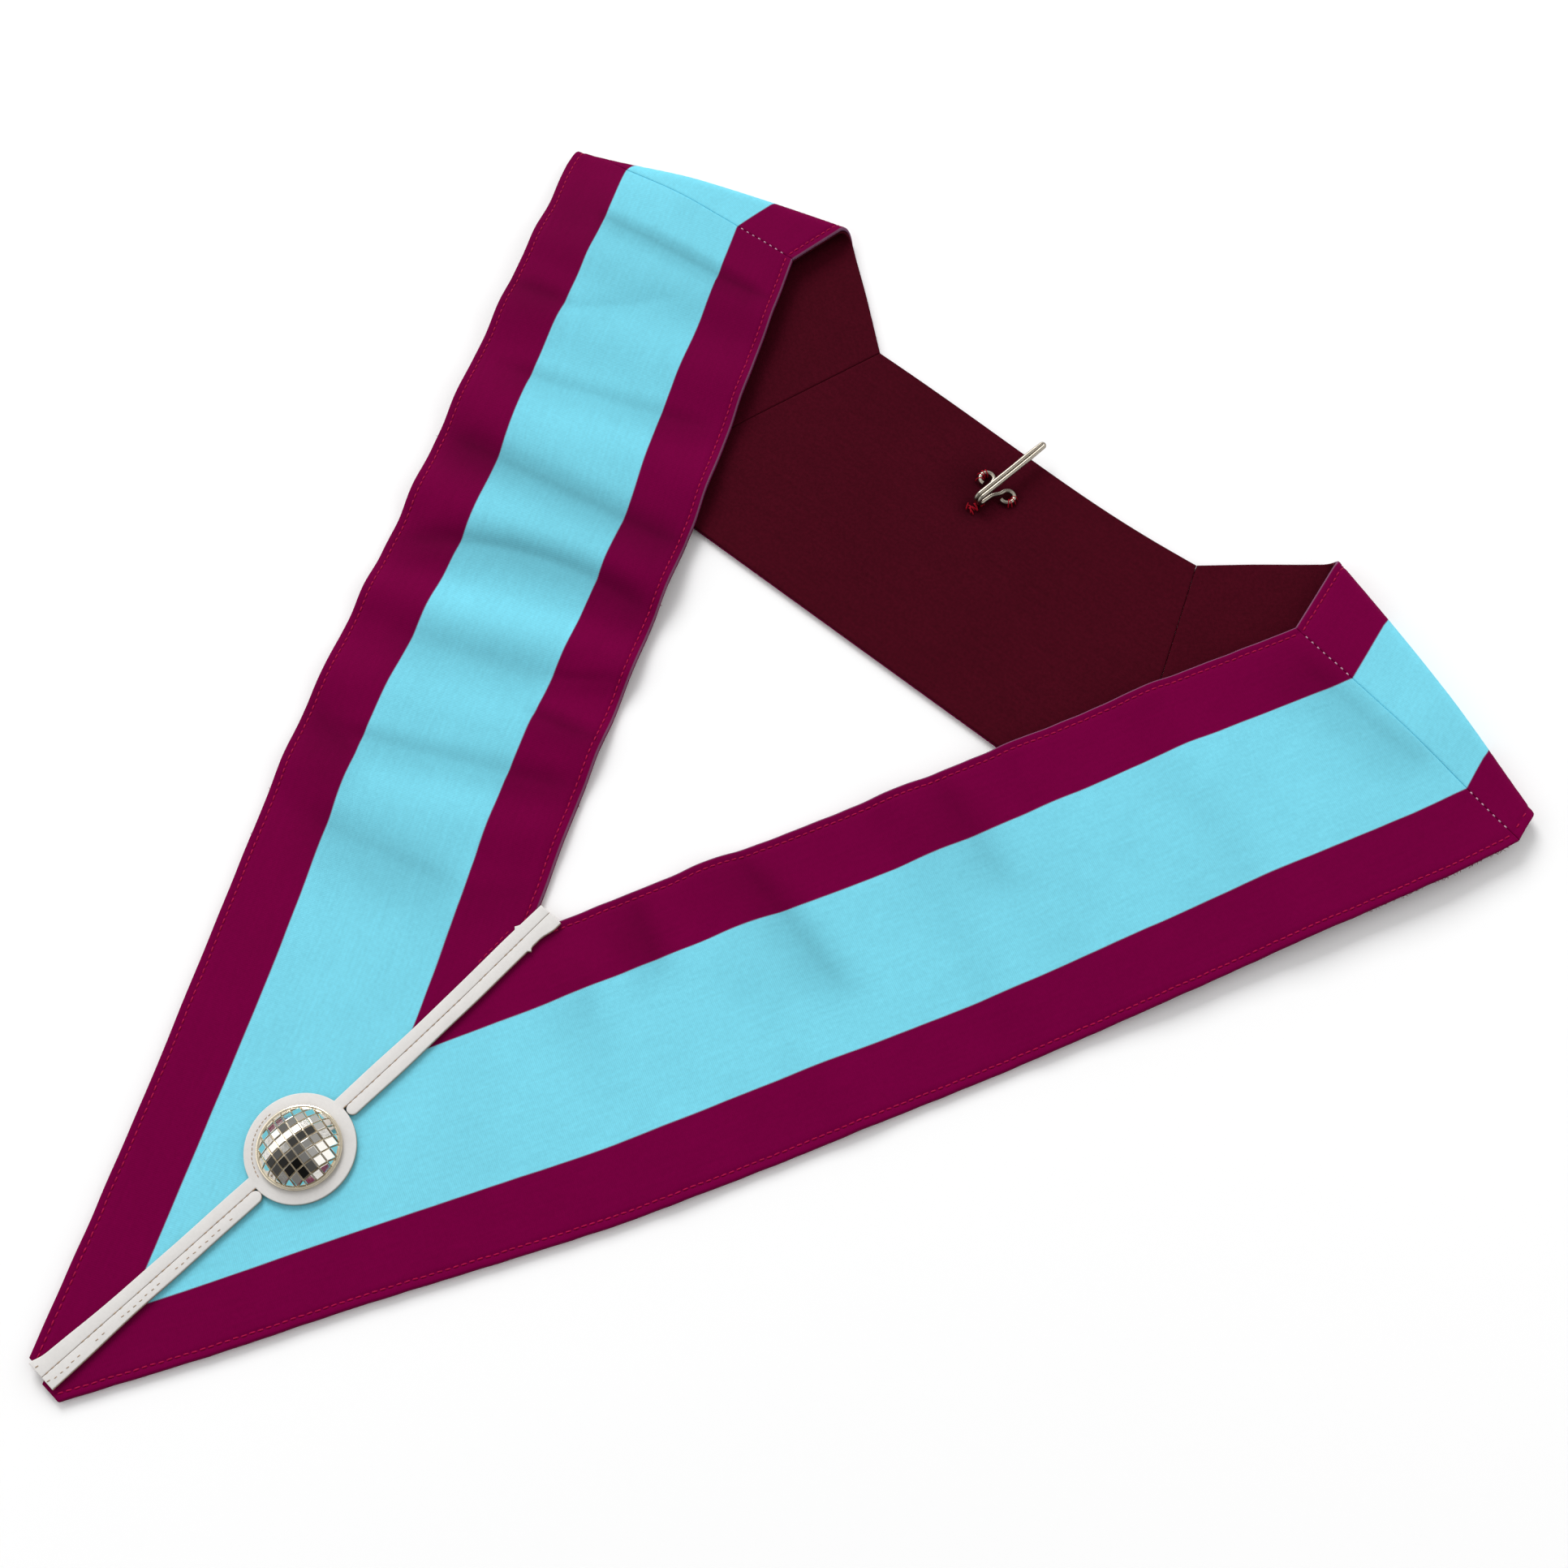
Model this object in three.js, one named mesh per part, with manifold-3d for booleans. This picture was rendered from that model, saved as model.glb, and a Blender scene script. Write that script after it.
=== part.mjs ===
// A ribbon collar laid flat: two front arms mitred into a V, folded over at both
// shoulders, with the back panel underneath and its lining showing.
// Millimetres, +Z up. The V points along -Y and the back panel lies at +Y.
import * as THREE from 'three';
import { mergeVertices } from 'three/addons/utils/BufferGeometryUtils.js';
import Module from 'manifold-3d';

// Ribbon and lining
const ribbonWidth = 101.6;
const ribbonThickness = 1.2;
const liningThickness = 1.0;
const clearance = 0.3;

// Cut of the collar, angles in degrees
const frontHalfAngle = 24.8;
const armLength = 282.9;
const shoulderTurn = 34.0;
const shoulderLength = 85.5;
const backTurn = 39.9;
const backDip = 2.2;
const backDipPlace = 0.69;

// Lay on the table
const foldHeight = 9.5;
const stackGap = 0.6;
const liftRun = 70;
const liftMargin = 6;
const foldBlend = 25;
const seamFlat = 6;
const seamBlend = 22;
const waveHeight = 2.6;
const waveReach = 19;
const tipSway = 7;
const swayStart = 27;
const swayPower = 1.5;

// White strips along the centre seam
const stripWidth = 4.1;
const stripThickness = 1.4;
const stripEdge = 0.35;
const stripTopReach = 9;
const stripTipReach = 0.8;
const stripTipWidening = 1.0;
const stripTipRun = 40;
const ringOuterDiameter = 35.7;
const ringInnerDiameter = 25.4;
const ringFromTip = 98.7;

// Domed button with square checks
const buttonDiameter = 27.3;
const buttonRimWidth = 1.2;
const buttonRimHeight = 1.2;
const domeHeight = 7;
const postDiameter = 8;
const checkPitch = 2.9;
const checkSize = 2.4;
const checkTopSize = 1.7;
const checkRise = 0.45;
const checkTurn = -8;

// Wire hook sewn to the back lining
const wireDiameter = 1.6;
const hookLength = 35;
const hookSetback = 29.3;
const hookTurn = 5.4;
const hookOffCentre = -1.9;
const hookOpening = 2.6;
const hookLoopDiameter = 5.8;
const hookLoopSweep = 285;
const hookLoopFromBend = 11;
const hookLoopSpread = 10.6;

// Mesh steps
const armSteps = 32;
const armEndSteps = 4;
const armEndShare = 0.96;
const foldSteps = 8;
const flatSteps = 4;
const backSteps = 12;
const innerShares = [0, 0.25, 0.5, 0.625, 0.75];
const wireSides = 6;
const roundSegments = 24;
const ringSegments = 36;

// Each side: its blunt tip, where its shoulder folds (from the shoulder seam along the
// neck edge), the slant of the fold, and the outline and waves of its arm. "at" is a
// share of the arm's length from the neck corner and runs on past 1 over the shoulder.
// The other columns are shares of the ribbon width (edge, neck, drift, slant), of the
// wave height (height) and of the wave reach (reach). "fade" is the share of a wave
// that is lost between the neck edge and the outer edge.
const sides = [
  {
    name: 'left',
    sign: -1,
    tipCut: 44,
    foldSetback: 28.4,
    foldAngle: 22.0,
    outline: [
      { at: -0.62, edge: 0.946, neck: 0, drift: 0 },
      { at: -0.49, edge: 0.951, neck: 0, drift: 0 },
      { at: -0.3, edge: 0.965, neck: 0, drift: 0 },
      { at: -0.12, edge: 0.989, neck: 0, drift: -0.004 },
      { at: 0.16, edge: 1.022, neck: 0.013, drift: 0.012 },
      { at: 0.38, edge: 1.012, neck: 0.002, drift: -0.006 },
      { at: 0.55, edge: 0.999, neck: -0.012, drift: -0.014 },
      { at: 0.72, edge: 0.991, neck: -0.01, drift: 0.008 },
      { at: 0.86, edge: 0.984, neck: -0.005, drift: 0 },
      { at: 1, edge: 0.985, neck: 0, drift: 0 },
      { at: 1.07, edge: 0.982, neck: 0, drift: 0 },
      { at: 1.11, edge: 0.955, neck: 0, drift: 0 },
      { at: 1.18, edge: 0.985, neck: 0, drift: 0 },
      { at: 1.26, edge: 1, neck: 0, drift: 0 },
    ],
    waves: [
      { at: 0.11, slant: 0.02, height: 0.55, reach: 0.85, fade: 0.1 },
      { at: 0.24, slant: 0.02, height: 0.7, reach: 0.9, fade: 0.1 },
      { at: 0.36, slant: 0.03, height: 0.9, reach: 0.8, fade: 0 },
      { at: 0.485, slant: 0.12, height: 1, reach: 0.95, fade: 0 },
      { at: 0.63, slant: 0.14, height: 0.85, reach: 1.05, fade: 0.1 },
      { at: 0.785, slant: 0.1, height: 0.7, reach: 1, fade: 0.1 },
      { at: 0.895, slant: 0.14, height: 0.55, reach: 0.75, fade: 0.2 },
    ],
  },
  {
    name: 'right',
    sign: 1,
    tipCut: 41.8,
    foldSetback: 35.4,
    foldAngle: 18.9,
    outline: [
      { at: -0.65, edge: 0.838, neck: 0, drift: 0 },
      { at: -0.46, edge: 0.888, neck: 0, drift: 0 },
      { at: -0.3, edge: 0.927, neck: 0, drift: 0 },
      { at: -0.11, edge: 0.977, neck: 0, drift: -0.004 },
      { at: 0, edge: 1, neck: 0.004, drift: 0 },
      { at: 0.19, edge: 1.012, neck: 0.002, drift: -0.004 },
      { at: 0.45, edge: 1.017, neck: 0.011, drift: 0.006 },
      { at: 0.65, edge: 1.012, neck: 0.008, drift: 0 },
      { at: 0.83, edge: 1, neck: 0.003, drift: -0.005 },
      { at: 1, edge: 0.99, neck: 0, drift: 0 },
      { at: 1.07, edge: 0.976, neck: 0, drift: 0 },
      { at: 1.11, edge: 0.957, neck: 0, drift: 0 },
      { at: 1.16, edge: 0.99, neck: 0, drift: 0 },
      { at: 1.24, edge: 1, neck: 0, drift: 0 },
    ],
    waves: [
      { at: 0.02, slant: 0.1, height: 0.5, reach: 0.85, fade: 0.6 },
      { at: 0.22, slant: 0.12, height: 1, reach: 0.95, fade: 0.7 },
      { at: 0.46, slant: 0.1, height: 0.75, reach: 0.8, fade: 0.7 },
      { at: 0.62, slant: 0.08, height: 0.45, reach: 0.75, fade: 0.7 },
      { at: 0.79, slant: 0.12, height: 0.7, reach: 0.9, fade: 0.6 },
    ],
  },
];

// Levels that follow from the walls
const halfGap = clearance / 2;
const backLevel = ribbonThickness + halfGap;
const backTop = ribbonThickness + clearance + liningThickness;
const restLevel = liningThickness + halfGap;
const frontTop = liningThickness + clearance + ribbonThickness;
const stackLevel = backTop + stackGap + restLevel;
const foldRadius = foldHeight / 2 - backLevel;
const foldCentre = backLevel + foldRadius;
const foldLevel = backLevel + 2 * foldRadius;
const foldArc = Math.PI * foldRadius;
const halfAngle = THREE.MathUtils.degToRad(frontHalfAngle);
const neckCorner = new THREE.Vector2(0, ribbonWidth / Math.sin(halfAngle));
const tipEnd = Math.max(...sides.map((side) => side.tipCut));

// Fixed-point rounds that settle where a ribbon line meets the centre seam
const seamRounds = 30;
const bisectRounds = 40;
const onTipTolerance = 0.02;

const wasm = await Module();
wasm.setup();

function heading(angle) {
  return new THREE.Vector2(Math.sin(angle), Math.cos(angle));
}

function outward(angle) {
  return new THREE.Vector2(Math.cos(angle), -Math.sin(angle));
}

// Smooth value of one column of a table at a given place
function column(rows, key, at) {
  let i = 0;
  while (i < rows.length - 2 && at > rows[i + 1].at) i += 1;
  const before = rows[Math.max(i - 1, 0)];
  const start = rows[i];
  const end = rows[i + 1];
  const after = rows[Math.min(i + 2, rows.length - 1)];
  const span = end.at - start.at;
  const t = THREE.MathUtils.clamp((at - start.at) / span, 0, 1);
  const slopeStart = ((end[key] - before[key]) / (end.at - before.at)) * span;
  const slopeEnd = ((after[key] - start[key]) / (after.at - start.at)) * span;
  const t2 = t * t;
  const t3 = t2 * t;
  return (2 * t3 - 3 * t2 + 1) * start[key] + (t3 - 2 * t2 + t) * slopeStart
    + (3 * t2 - 2 * t3) * end[key] + (t3 - t2) * slopeEnd;
}

// Sideways place of the centre seam: it drifts to one side towards the tip
function seamX(y) {
  const top = neckCorner.y - swayStart;
  const t = THREE.MathUtils.clamp((top - y) / (top - tipEnd), 0, 1);
  return -tipSway * t ** swayPower;
}

// Distance of a ribbon line from the straight neck line of its arm
function lineOffset(side, share, along) {
  const at = along / armLength;
  const neck = column(side.outline, 'neck', at);
  const edge = column(side.outline, 'edge', at);
  const drift = column(side.outline, 'drift', at) * 4 * share * (1 - share);
  return ribbonWidth * (neck + share * (edge - neck) + drift);
}

// Plan point of an arm, x counted outward from the middle on both sides
function armPlan(side, share, along) {
  return neckCorner.clone()
    .addScaledVector(heading(halfAngle), along)
    .addScaledVector(outward(halfAngle), lineOffset(side, share, along));
}

// Where a ribbon line starts: on the centre seam, or on the blunt tip
function lineStart(side, share) {
  let along = -share * ribbonWidth / Math.tan(halfAngle);
  for (let i = 0; i < seamRounds; i += 1) {
    const point = armPlan(side, share, along);
    const onSeam = side.sign * seamX(point.y) + halfGap - point.x;
    const onTip = (side.tipCut - point.y) / Math.cos(halfAngle);
    along += Math.max(onSeam / Math.sin(halfAngle), onTip);
  }
  return along;
}

// The share across the ribbon where the centre seam reaches the blunt tip
function tipShare(side) {
  let low = 0.5;
  let high = 1;
  for (let i = 0; i < bisectRounds; i += 1) {
    const middle = (low + high) / 2;
    const y = armPlan(side, middle, lineStart(side, middle)).y;
    if (y > side.tipCut + onTipTolerance) low = middle;
    else high = middle;
  }
  return high;
}

// Share across the ribbon, drawn in with the outer edge. The place is counted over the
// shoulder from its slanted seam: 0 at the seam, 1 at the back seam.
function drawnIn(side, share, part) {
  const slant = Math.tan(THREE.MathUtils.degToRad(shoulderTurn) / 2) * share * ribbonWidth;
  const at = 1 + (slant + part * shoulderLength) / armLength;
  return share * column(side.outline, 'edge', at);
}

// Pattern of one side: seams, directions and fold line in plan
function layOut(side) {
  const shoulderAngle = halfAngle - THREE.MathUtils.degToRad(shoulderTurn);
  const seamAngle = halfAngle - THREE.MathUtils.degToRad(shoulderTurn) / 2;
  const foldAngle = THREE.MathUtils.degToRad(side.foldAngle);
  const armWay = heading(halfAngle);
  const shoulderWay = heading(shoulderAngle);
  const seamStretch = 1 / Math.cos(THREE.MathUtils.degToRad(shoulderTurn) / 2);
  const seamWay = outward(seamAngle).multiplyScalar(seamStretch);
  const seamNeck = neckCorner.clone().addScaledVector(armWay, armLength);
  const foldWay = new THREE.Vector2(Math.cos(foldAngle), -Math.sin(foldAngle));
  const foldOut = new THREE.Vector2(Math.sin(foldAngle), Math.cos(foldAngle));
  const ridgeNeck = seamNeck.clone().addScaledVector(shoulderWay, side.foldSetback);
  const mirrorInFold = (way) => foldWay.clone()
    .multiplyScalar(2 * way.dot(foldWay)).sub(way);
  const behindWay = mirrorInFold(shoulderWay);
  const behindOut = mirrorInFold(outward(shoulderAngle));
  const turn = -THREE.MathUtils.degToRad(backTurn);
  const origin = new THREE.Vector2();
  const backOut = behindOut.clone().rotateAround(origin, turn);
  const backSeamWay = behindOut.clone().add(backOut);
  backSeamWay.divideScalar(backSeamWay.dot(backOut));
  const backNeck = ridgeNeck.clone()
    .addScaledVector(behindWay, shoulderLength - side.foldSetback);
  const foldStart = ridgeNeck.clone().addScaledVector(foldOut, -foldHeight / 2);
  return {
    armWay, shoulderWay, seamNeck, seamWay, foldWay, foldOut, foldStart,
    behindWay, backNeck, backSeamWay,
  };
}

for (const side of sides) {
  side.plan = layOut(side);
  side.shares = [...innerShares, tipShare(side), 1];
}

// The lowest place of the back panel's outer edge, which the arms climb over
const backEdge = Math.min(...sides.map((side) =>
  side.plan.backNeck.y + side.plan.backSeamWay.y * ribbonWidth));
const liftEnd = backEdge - liftMargin;
const shoulderY = sides[0].plan.seamNeck.y;

// Height of the front layer: on the table, then up and over the back layer
function frontLevel(y, beyondFold) {
  const climb = THREE.MathUtils.smoothstep(y, liftEnd - liftRun, liftEnd);
  const rise = THREE.MathUtils.clamp((y - liftEnd) / (shoulderY - liftEnd), 0, 1);
  const level = restLevel + (stackLevel - restLevel) * climb
    + (foldLevel - stackLevel) * rise;
  const blend = THREE.MathUtils.smoothstep(beyondFold, -foldBlend, 0);
  return THREE.MathUtils.lerp(level, foldLevel, blend);
}

// Soft waves that cross an arm
function waveLift(side, share, along, point) {
  let lift = 0;
  for (const wave of side.waves) {
    const crest = wave.at * armLength + wave.slant * share * ribbonWidth;
    const distance = Math.abs(along - crest) / (wave.reach * waveReach);
    if (distance < 1) {
      const bump = (1 + Math.cos(Math.PI * distance)) / 2;
      lift += bump * wave.height * waveHeight * (1 - wave.fade * share);
    }
  }
  const fromSeam = THREE.MathUtils.smoothstep(point.x, seamFlat, seamFlat + seamBlend);
  const beyondFold = point.clone().sub(side.plan.foldStart).dot(side.plan.foldOut);
  const fromFold = THREE.MathUtils.smoothstep(-beyondFold, 0, foldBlend);
  return lift * fromSeam * fromFold;
}

// Solid point of the sheet, wrapped round the shoulder fold where it passes it
function wrap(side, along, beyond, level, offset) {
  const { foldStart, foldWay, foldOut } = side.plan;
  const plan = foldStart.clone().addScaledVector(foldWay, along);
  let z = level + offset;
  if (beyond <= 0) {
    plan.addScaledVector(foldOut, beyond);
  } else if (beyond < foldArc) {
    const angle = beyond / foldRadius;
    plan.addScaledVector(foldOut, (foldRadius + offset) * Math.sin(angle));
    z = foldCentre + (foldRadius + offset) * Math.cos(angle);
  } else {
    plan.addScaledVector(foldOut, foldArc - beyond);
    z = backLevel - offset;
  }
  return new THREE.Vector3(side.sign * plan.x, plan.y, z);
}

function wrapPlan(side, point, lift, offset) {
  const rel = point.clone().sub(side.plan.foldStart);
  const beyond = rel.dot(side.plan.foldOut);
  const level = frontLevel(point.y, beyond) + lift;
  return wrap(side, rel.dot(side.plan.foldWay), beyond, level, offset);
}

// One wall of cloth between two offsets of a surface given on a grid
function clothWall(rows, columns, surface, low, high) {
  const points = [];
  const index = (layer, i, j) => (layer * rows + i) * columns + j;
  for (const offset of [low, high]) {
    for (let i = 0; i < rows; i += 1) {
      for (let j = 0; j < columns; j += 1) points.push(...surface(i, j, offset).toArray());
    }
  }
  const faces = [];
  const quad = (a, b, c, d) => faces.push(a, b, c, a, c, d);
  for (let i = 0; i < rows - 1; i += 1) {
    for (let j = 0; j < columns - 1; j += 1) {
      quad(index(0, i, j), index(0, i, j + 1), index(0, i + 1, j + 1), index(0, i + 1, j));
      quad(index(1, i, j), index(1, i + 1, j), index(1, i + 1, j + 1), index(1, i, j + 1));
    }
  }
  for (let i = 0; i < rows - 1; i += 1) {
    const last = columns - 1;
    quad(index(0, i, 0), index(0, i + 1, 0), index(1, i + 1, 0), index(1, i, 0));
    quad(index(0, i, last), index(1, i, last), index(1, i + 1, last), index(0, i + 1, last));
  }
  for (let j = 0; j < columns - 1; j += 1) {
    const last = rows - 1;
    quad(index(0, 0, j), index(1, 0, j), index(1, 0, j + 1), index(0, 0, j + 1));
    quad(index(0, last, j), index(0, last, j + 1), index(1, last, j + 1), index(1, last, j));
  }
  const geometry = new THREE.BufferGeometry();
  geometry.setAttribute('position', new THREE.Float32BufferAttribute(points, 3));
  geometry.setIndex(faces);
  return facingOut(geometry);
}

// Turns a closed mesh's faces outward if they point in
function facingOut(geometry) {
  const position = geometry.getAttribute('position');
  const faces = geometry.getIndex().array;
  const [a, b, c] = [new THREE.Vector3(), new THREE.Vector3(), new THREE.Vector3()];
  let volume = 0;
  for (let i = 0; i < faces.length; i += 3) {
    a.fromBufferAttribute(position, faces[i]);
    b.fromBufferAttribute(position, faces[i + 1]);
    c.fromBufferAttribute(position, faces[i + 2]);
    volume += a.dot(b.cross(c));
  }
  if (volume < 0) geometry.setIndex(Array.from(faces).reverse());
  return geometry;
}

// Offsets of the two cloth layers from the face where they meet
const ribbonLayer = [halfGap, halfGap + ribbonThickness];
const liningLayer = [-halfGap - liningThickness, -halfGap];

// Arm, from the centre seam to the shoulder seam
function armWall(side, layer) {
  const { seamNeck, seamWay, armWay } = side.plan;
  const steps = armSteps + armEndSteps;
  const starts = side.shares.map((share) => lineStart(side, share));
  const ends = side.shares.map((share) => seamNeck.clone()
    .addScaledVector(seamWay, drawnIn(side, share, 0) * ribbonWidth)
    .sub(neckCorner).dot(armWay) - halfGap);
  const surface = (i, j, offset) => {
    const early = Math.min(i, armSteps) / armSteps;
    const late = Math.max(i - armSteps, 0) / armEndSteps;
    const part = early * armEndShare + late * (1 - armEndShare);
    const share = side.shares[j];
    const along = THREE.MathUtils.lerp(starts[j], ends[j], part);
    const point = armPlan(side, share, along);
    return wrapPlan(side, point, waveLift(side, share, along, point), offset);
  };
  return clothWall(steps + 1, side.shares.length, surface, ...layer);
}

// Ends of a line of the shoulder piece, as places along and beyond the fold when flat
function shoulderLine(side, share) {
  const { seamNeck, seamWay, shoulderWay, foldStart, foldWay, foldOut } = side.plan;
  const { backNeck, backSeamWay, behindWay } = side.plan;
  const front = seamNeck.clone().addScaledVector(seamWay, share * ribbonWidth)
    .addScaledVector(shoulderWay, halfGap).sub(foldStart);
  const back = backNeck.clone().addScaledVector(backSeamWay, share * ribbonWidth)
    .addScaledVector(behindWay, -halfGap).sub(foldStart);
  return {
    start: new THREE.Vector2(front.dot(foldWay), front.dot(foldOut)),
    end: new THREE.Vector2(back.dot(foldWay), foldArc - back.dot(foldOut)),
  };
}

// Shoulder piece, from the shoulder seam round the fold to the back seam
function shoulderWall(side, layer) {
  const { foldStart, foldWay, foldOut } = side.plan;
  const counts = [flatSteps, foldSteps, flatSteps];
  const steps = flatSteps + foldSteps + flatSteps;
  const surface = (i, j, offset) => {
    const share = side.shares[j];
    const straight = shoulderLine(side, share);
    const bendStart = Math.max(0, straight.start.y + foldRadius / 2);
    const stops = [straight.start.y, bendStart, foldArc, straight.end.y];
    let stretch = 0;
    let step = i;
    while (stretch < counts.length - 1 && step > counts[stretch]) {
      step -= counts[stretch];
      stretch += 1;
    }
    const reached = THREE.MathUtils.lerp(stops[stretch], stops[stretch + 1], step / counts[stretch]);
    const part = (reached - straight.start.y) / (straight.end.y - straight.start.y);
    const drawn = shoulderLine(side, drawnIn(side, share, part));
    const place = drawn.start.lerp(drawn.end, part);
    const y = foldStart.y + foldWay.y * place.x + foldOut.y * place.y;
    return wrap(side, place.x, place.y, frontLevel(y, place.y), offset);
  };
  return clothWall(steps + 1, side.shares.length, surface, ...layer);
}

// Plan point of the back panel, from the left seam to the right one. Its neck edge
// dips in a little, most where backDipPlace says.
function backPlan(part, share) {
  const [left, right] = sides.map((side) => {
    const point = side.plan.backNeck.clone()
      .addScaledVector(side.plan.backSeamWay, share * ribbonWidth)
      .addScaledVector(side.plan.behindWay, halfGap);
    return new THREE.Vector2(side.sign * point.x, point.y);
  });
  const skewed = part ** (Math.log(0.5) / Math.log(backDipPlace));
  const dip = backDip * Math.sin(Math.PI * skewed) * (1 - share);
  return left.lerp(right, part).sub(new THREE.Vector2(0, dip));
}

function backWall(layer) {
  const { shares } = sides[0];
  const surface = (i, j, offset) => {
    const plan = backPlan(i / backSteps, shares[j]);
    return new THREE.Vector3(plan.x, plan.y, backLevel - offset);
  };
  return clothWall(backSteps + 1, shares.length, surface, ...layer);
}

// Solids and meshes to and from the boolean library
function toSolid(geometry) {
  const bare = geometry.clone();
  bare.deleteAttribute('normal');
  bare.deleteAttribute('uv');
  const merged = mergeVertices(bare);
  return new wasm.Manifold(new wasm.Mesh({
    numProp: 3,
    vertProperties: new Float32Array(merged.getAttribute('position').array),
    triVerts: new Uint32Array(merged.getIndex().array),
  }));
}

function toGeometry(solid) {
  const mesh = solid.getMesh();
  const geometry = new THREE.BufferGeometry();
  geometry.setAttribute('position', new THREE.Float32BufferAttribute(mesh.vertProperties, 3));
  geometry.setIndex(Array.from(mesh.triVerts));
  return geometry;
}

function fuse(geometries) {
  const [first, ...rest] = geometries.map(toSolid);
  return toGeometry(rest.reduce((whole, solid) => whole.add(solid), first));
}

// White strips: flat bands with eased edges on the front of the ribbon
const stripBase = frontTop + clearance;
const ringY = tipEnd + ringFromTip;
const ringCentre = new THREE.Vector2(seamX(ringY), ringY);
const ringOuter = ringOuterDiameter / 2;
const ringInner = ringInnerDiameter / 2;
const stripTop = neckCorner.y + stripTopReach;
const stripTip = tipEnd - stripTipReach;
const stripStations = 10;
const roundEndSteps = 8;

function raisedBand(shape) {
  const geometry = new THREE.ExtrudeGeometry(shape, {
    depth: stripThickness - 2 * stripEdge,
    bevelEnabled: true,
    bevelThickness: stripEdge,
    bevelSize: stripEdge,
    bevelOffset: -stripEdge,
    bevelSegments: 1,
    curveSegments: ringSegments,
  });
  return geometry.translate(0, 0, stripBase + stripEdge);
}

// A strip's width, a little wider towards the tip
function stripBreadth(y) {
  const widening = 1 - THREE.MathUtils.smoothstep(y, stripTip, stripTip + stripTipRun);
  return stripWidth + stripTipWidening * widening;
}

// Outline of a strip beside the seam; hand is -1 left, 1 right, and a round end
// faces the ring where the strip only butts against it
function stripShape(hand, from, to, roundAt) {
  const near = () => hand * halfGap;
  const far = (y) => hand * (halfGap + stripBreadth(y));
  const edge = (offset, start, end) => Array.from({ length: stripStations + 1 }, (_, i) => {
    const y = THREE.MathUtils.lerp(start, end, i / stripStations);
    return new THREE.Vector2(seamX(y) + offset(y), y);
  });
  const outline = edge(near, from, to);
  if (roundAt !== 0) {
    const radius = stripBreadth(to) / 2;
    const middle = new THREE.Vector2(seamX(to) + hand * (halfGap + radius), to);
    for (let i = 1; i < roundEndSteps; i += 1) {
      const angle = Math.PI * i / roundEndSteps;
      outline.push(new THREE.Vector2(
        middle.x - hand * radius * Math.cos(angle),
        middle.y + roundAt * radius * Math.sin(angle),
      ));
    }
  }
  return new THREE.Shape([...outline, ...edge(far, to, from)]);
}

// The left strip runs into the ring from both sides, so the three are one piece
function braidLoop() {
  const ring = new THREE.Shape();
  ring.absarc(ringCentre.x, ringCentre.y, ringOuter, 0, 2 * Math.PI);
  const hole = new THREE.Path();
  hole.absarc(ringCentre.x, ringCentre.y, ringInner, 0, 2 * Math.PI, true);
  ring.holes.push(hole);
  const bandMiddle = (ringOuter + ringInner) / 2;
  return fuse([
    raisedBand(ring),
    raisedBand(stripShape(-1, stripTip, ringCentre.y - bandMiddle, 0)),
    raisedBand(stripShape(-1, ringCentre.y + bandMiddle, stripTop, 0)),
  ]);
}

// The right strip stops on each side of the ring with a round end
function buttedStrip(far, direction) {
  const radius = stripWidth / 2;
  const reach = ringOuter + clearance + radius;
  const sideways = halfGap + radius;
  const end = ringCentre.y + direction * Math.sqrt(reach ** 2 - sideways ** 2);
  return raisedBand(stripShape(1, far, end, -direction));
}

// Button: rim, dome, raised square checks and the post that is sewn through
function buttonBody() {
  const plate = stripBase + stripThickness + clearance;
  const rimTop = plate + buttonRimHeight;
  const domeBase = buttonDiameter / 2 - buttonRimWidth;
  const domeRadius = (domeBase ** 2 + domeHeight ** 2) / (2 * domeHeight);
  const domeCentre = rimTop + domeHeight - domeRadius;
  const domeSteps = 6;
  const opening = Math.asin(domeBase / domeRadius);
  const profile = [
    new THREE.Vector2(0, stripBase),
    new THREE.Vector2(postDiameter / 2, stripBase),
    new THREE.Vector2(postDiameter / 2, plate),
    new THREE.Vector2(buttonDiameter / 2, plate),
    new THREE.Vector2(buttonDiameter / 2, rimTop),
  ];
  for (let i = 0; i <= domeSteps; i += 1) {
    const angle = opening * (1 - i / domeSteps);
    const radius = i === domeSteps ? 0 : domeRadius * Math.sin(angle);
    profile.push(new THREE.Vector2(radius, domeCentre + domeRadius * Math.cos(angle)));
  }
  const body = new THREE.LatheGeometry(profile, roundSegments).rotateX(Math.PI / 2);
  const checks = checkStuds(domeRadius, domeCentre, domeBase);
  return fuse([body, ...checks]).translate(ringCentre.x, ringCentre.y, 0);
}

function checkStuds(domeRadius, domeCentre, domeBase) {
  const reach = Math.floor(domeBase / checkPitch);
  const depth = 2 * checkRise;
  const studs = [];
  for (let i = -reach; i <= reach; i += 1) {
    for (let j = -reach; j <= reach; j += 1) {
      const [x, y] = [i * checkPitch, j * checkPitch];
      const outermost = Math.hypot(x, y) + checkSize / 2;
      if (outermost < domeBase) {
        const stud = new THREE.CylinderGeometry(
          checkTopSize / Math.SQRT2, checkSize / Math.SQRT2, checkRise + depth, 4,
        );
        stud.rotateY(Math.PI / 4).rotateX(Math.PI / 2);
        stud.translate(0, 0, domeRadius + (checkRise - depth) / 2);
        stud.rotateX(-Math.asin(y / domeRadius));
        stud.rotateY(Math.asin(x / Math.sqrt(domeRadius ** 2 - y ** 2)));
        stud.translate(0, 0, domeCentre);
        studs.push(stud.rotateZ(THREE.MathUtils.degToRad(checkTurn)));
      }
    }
  }
  return studs;
}

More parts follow.
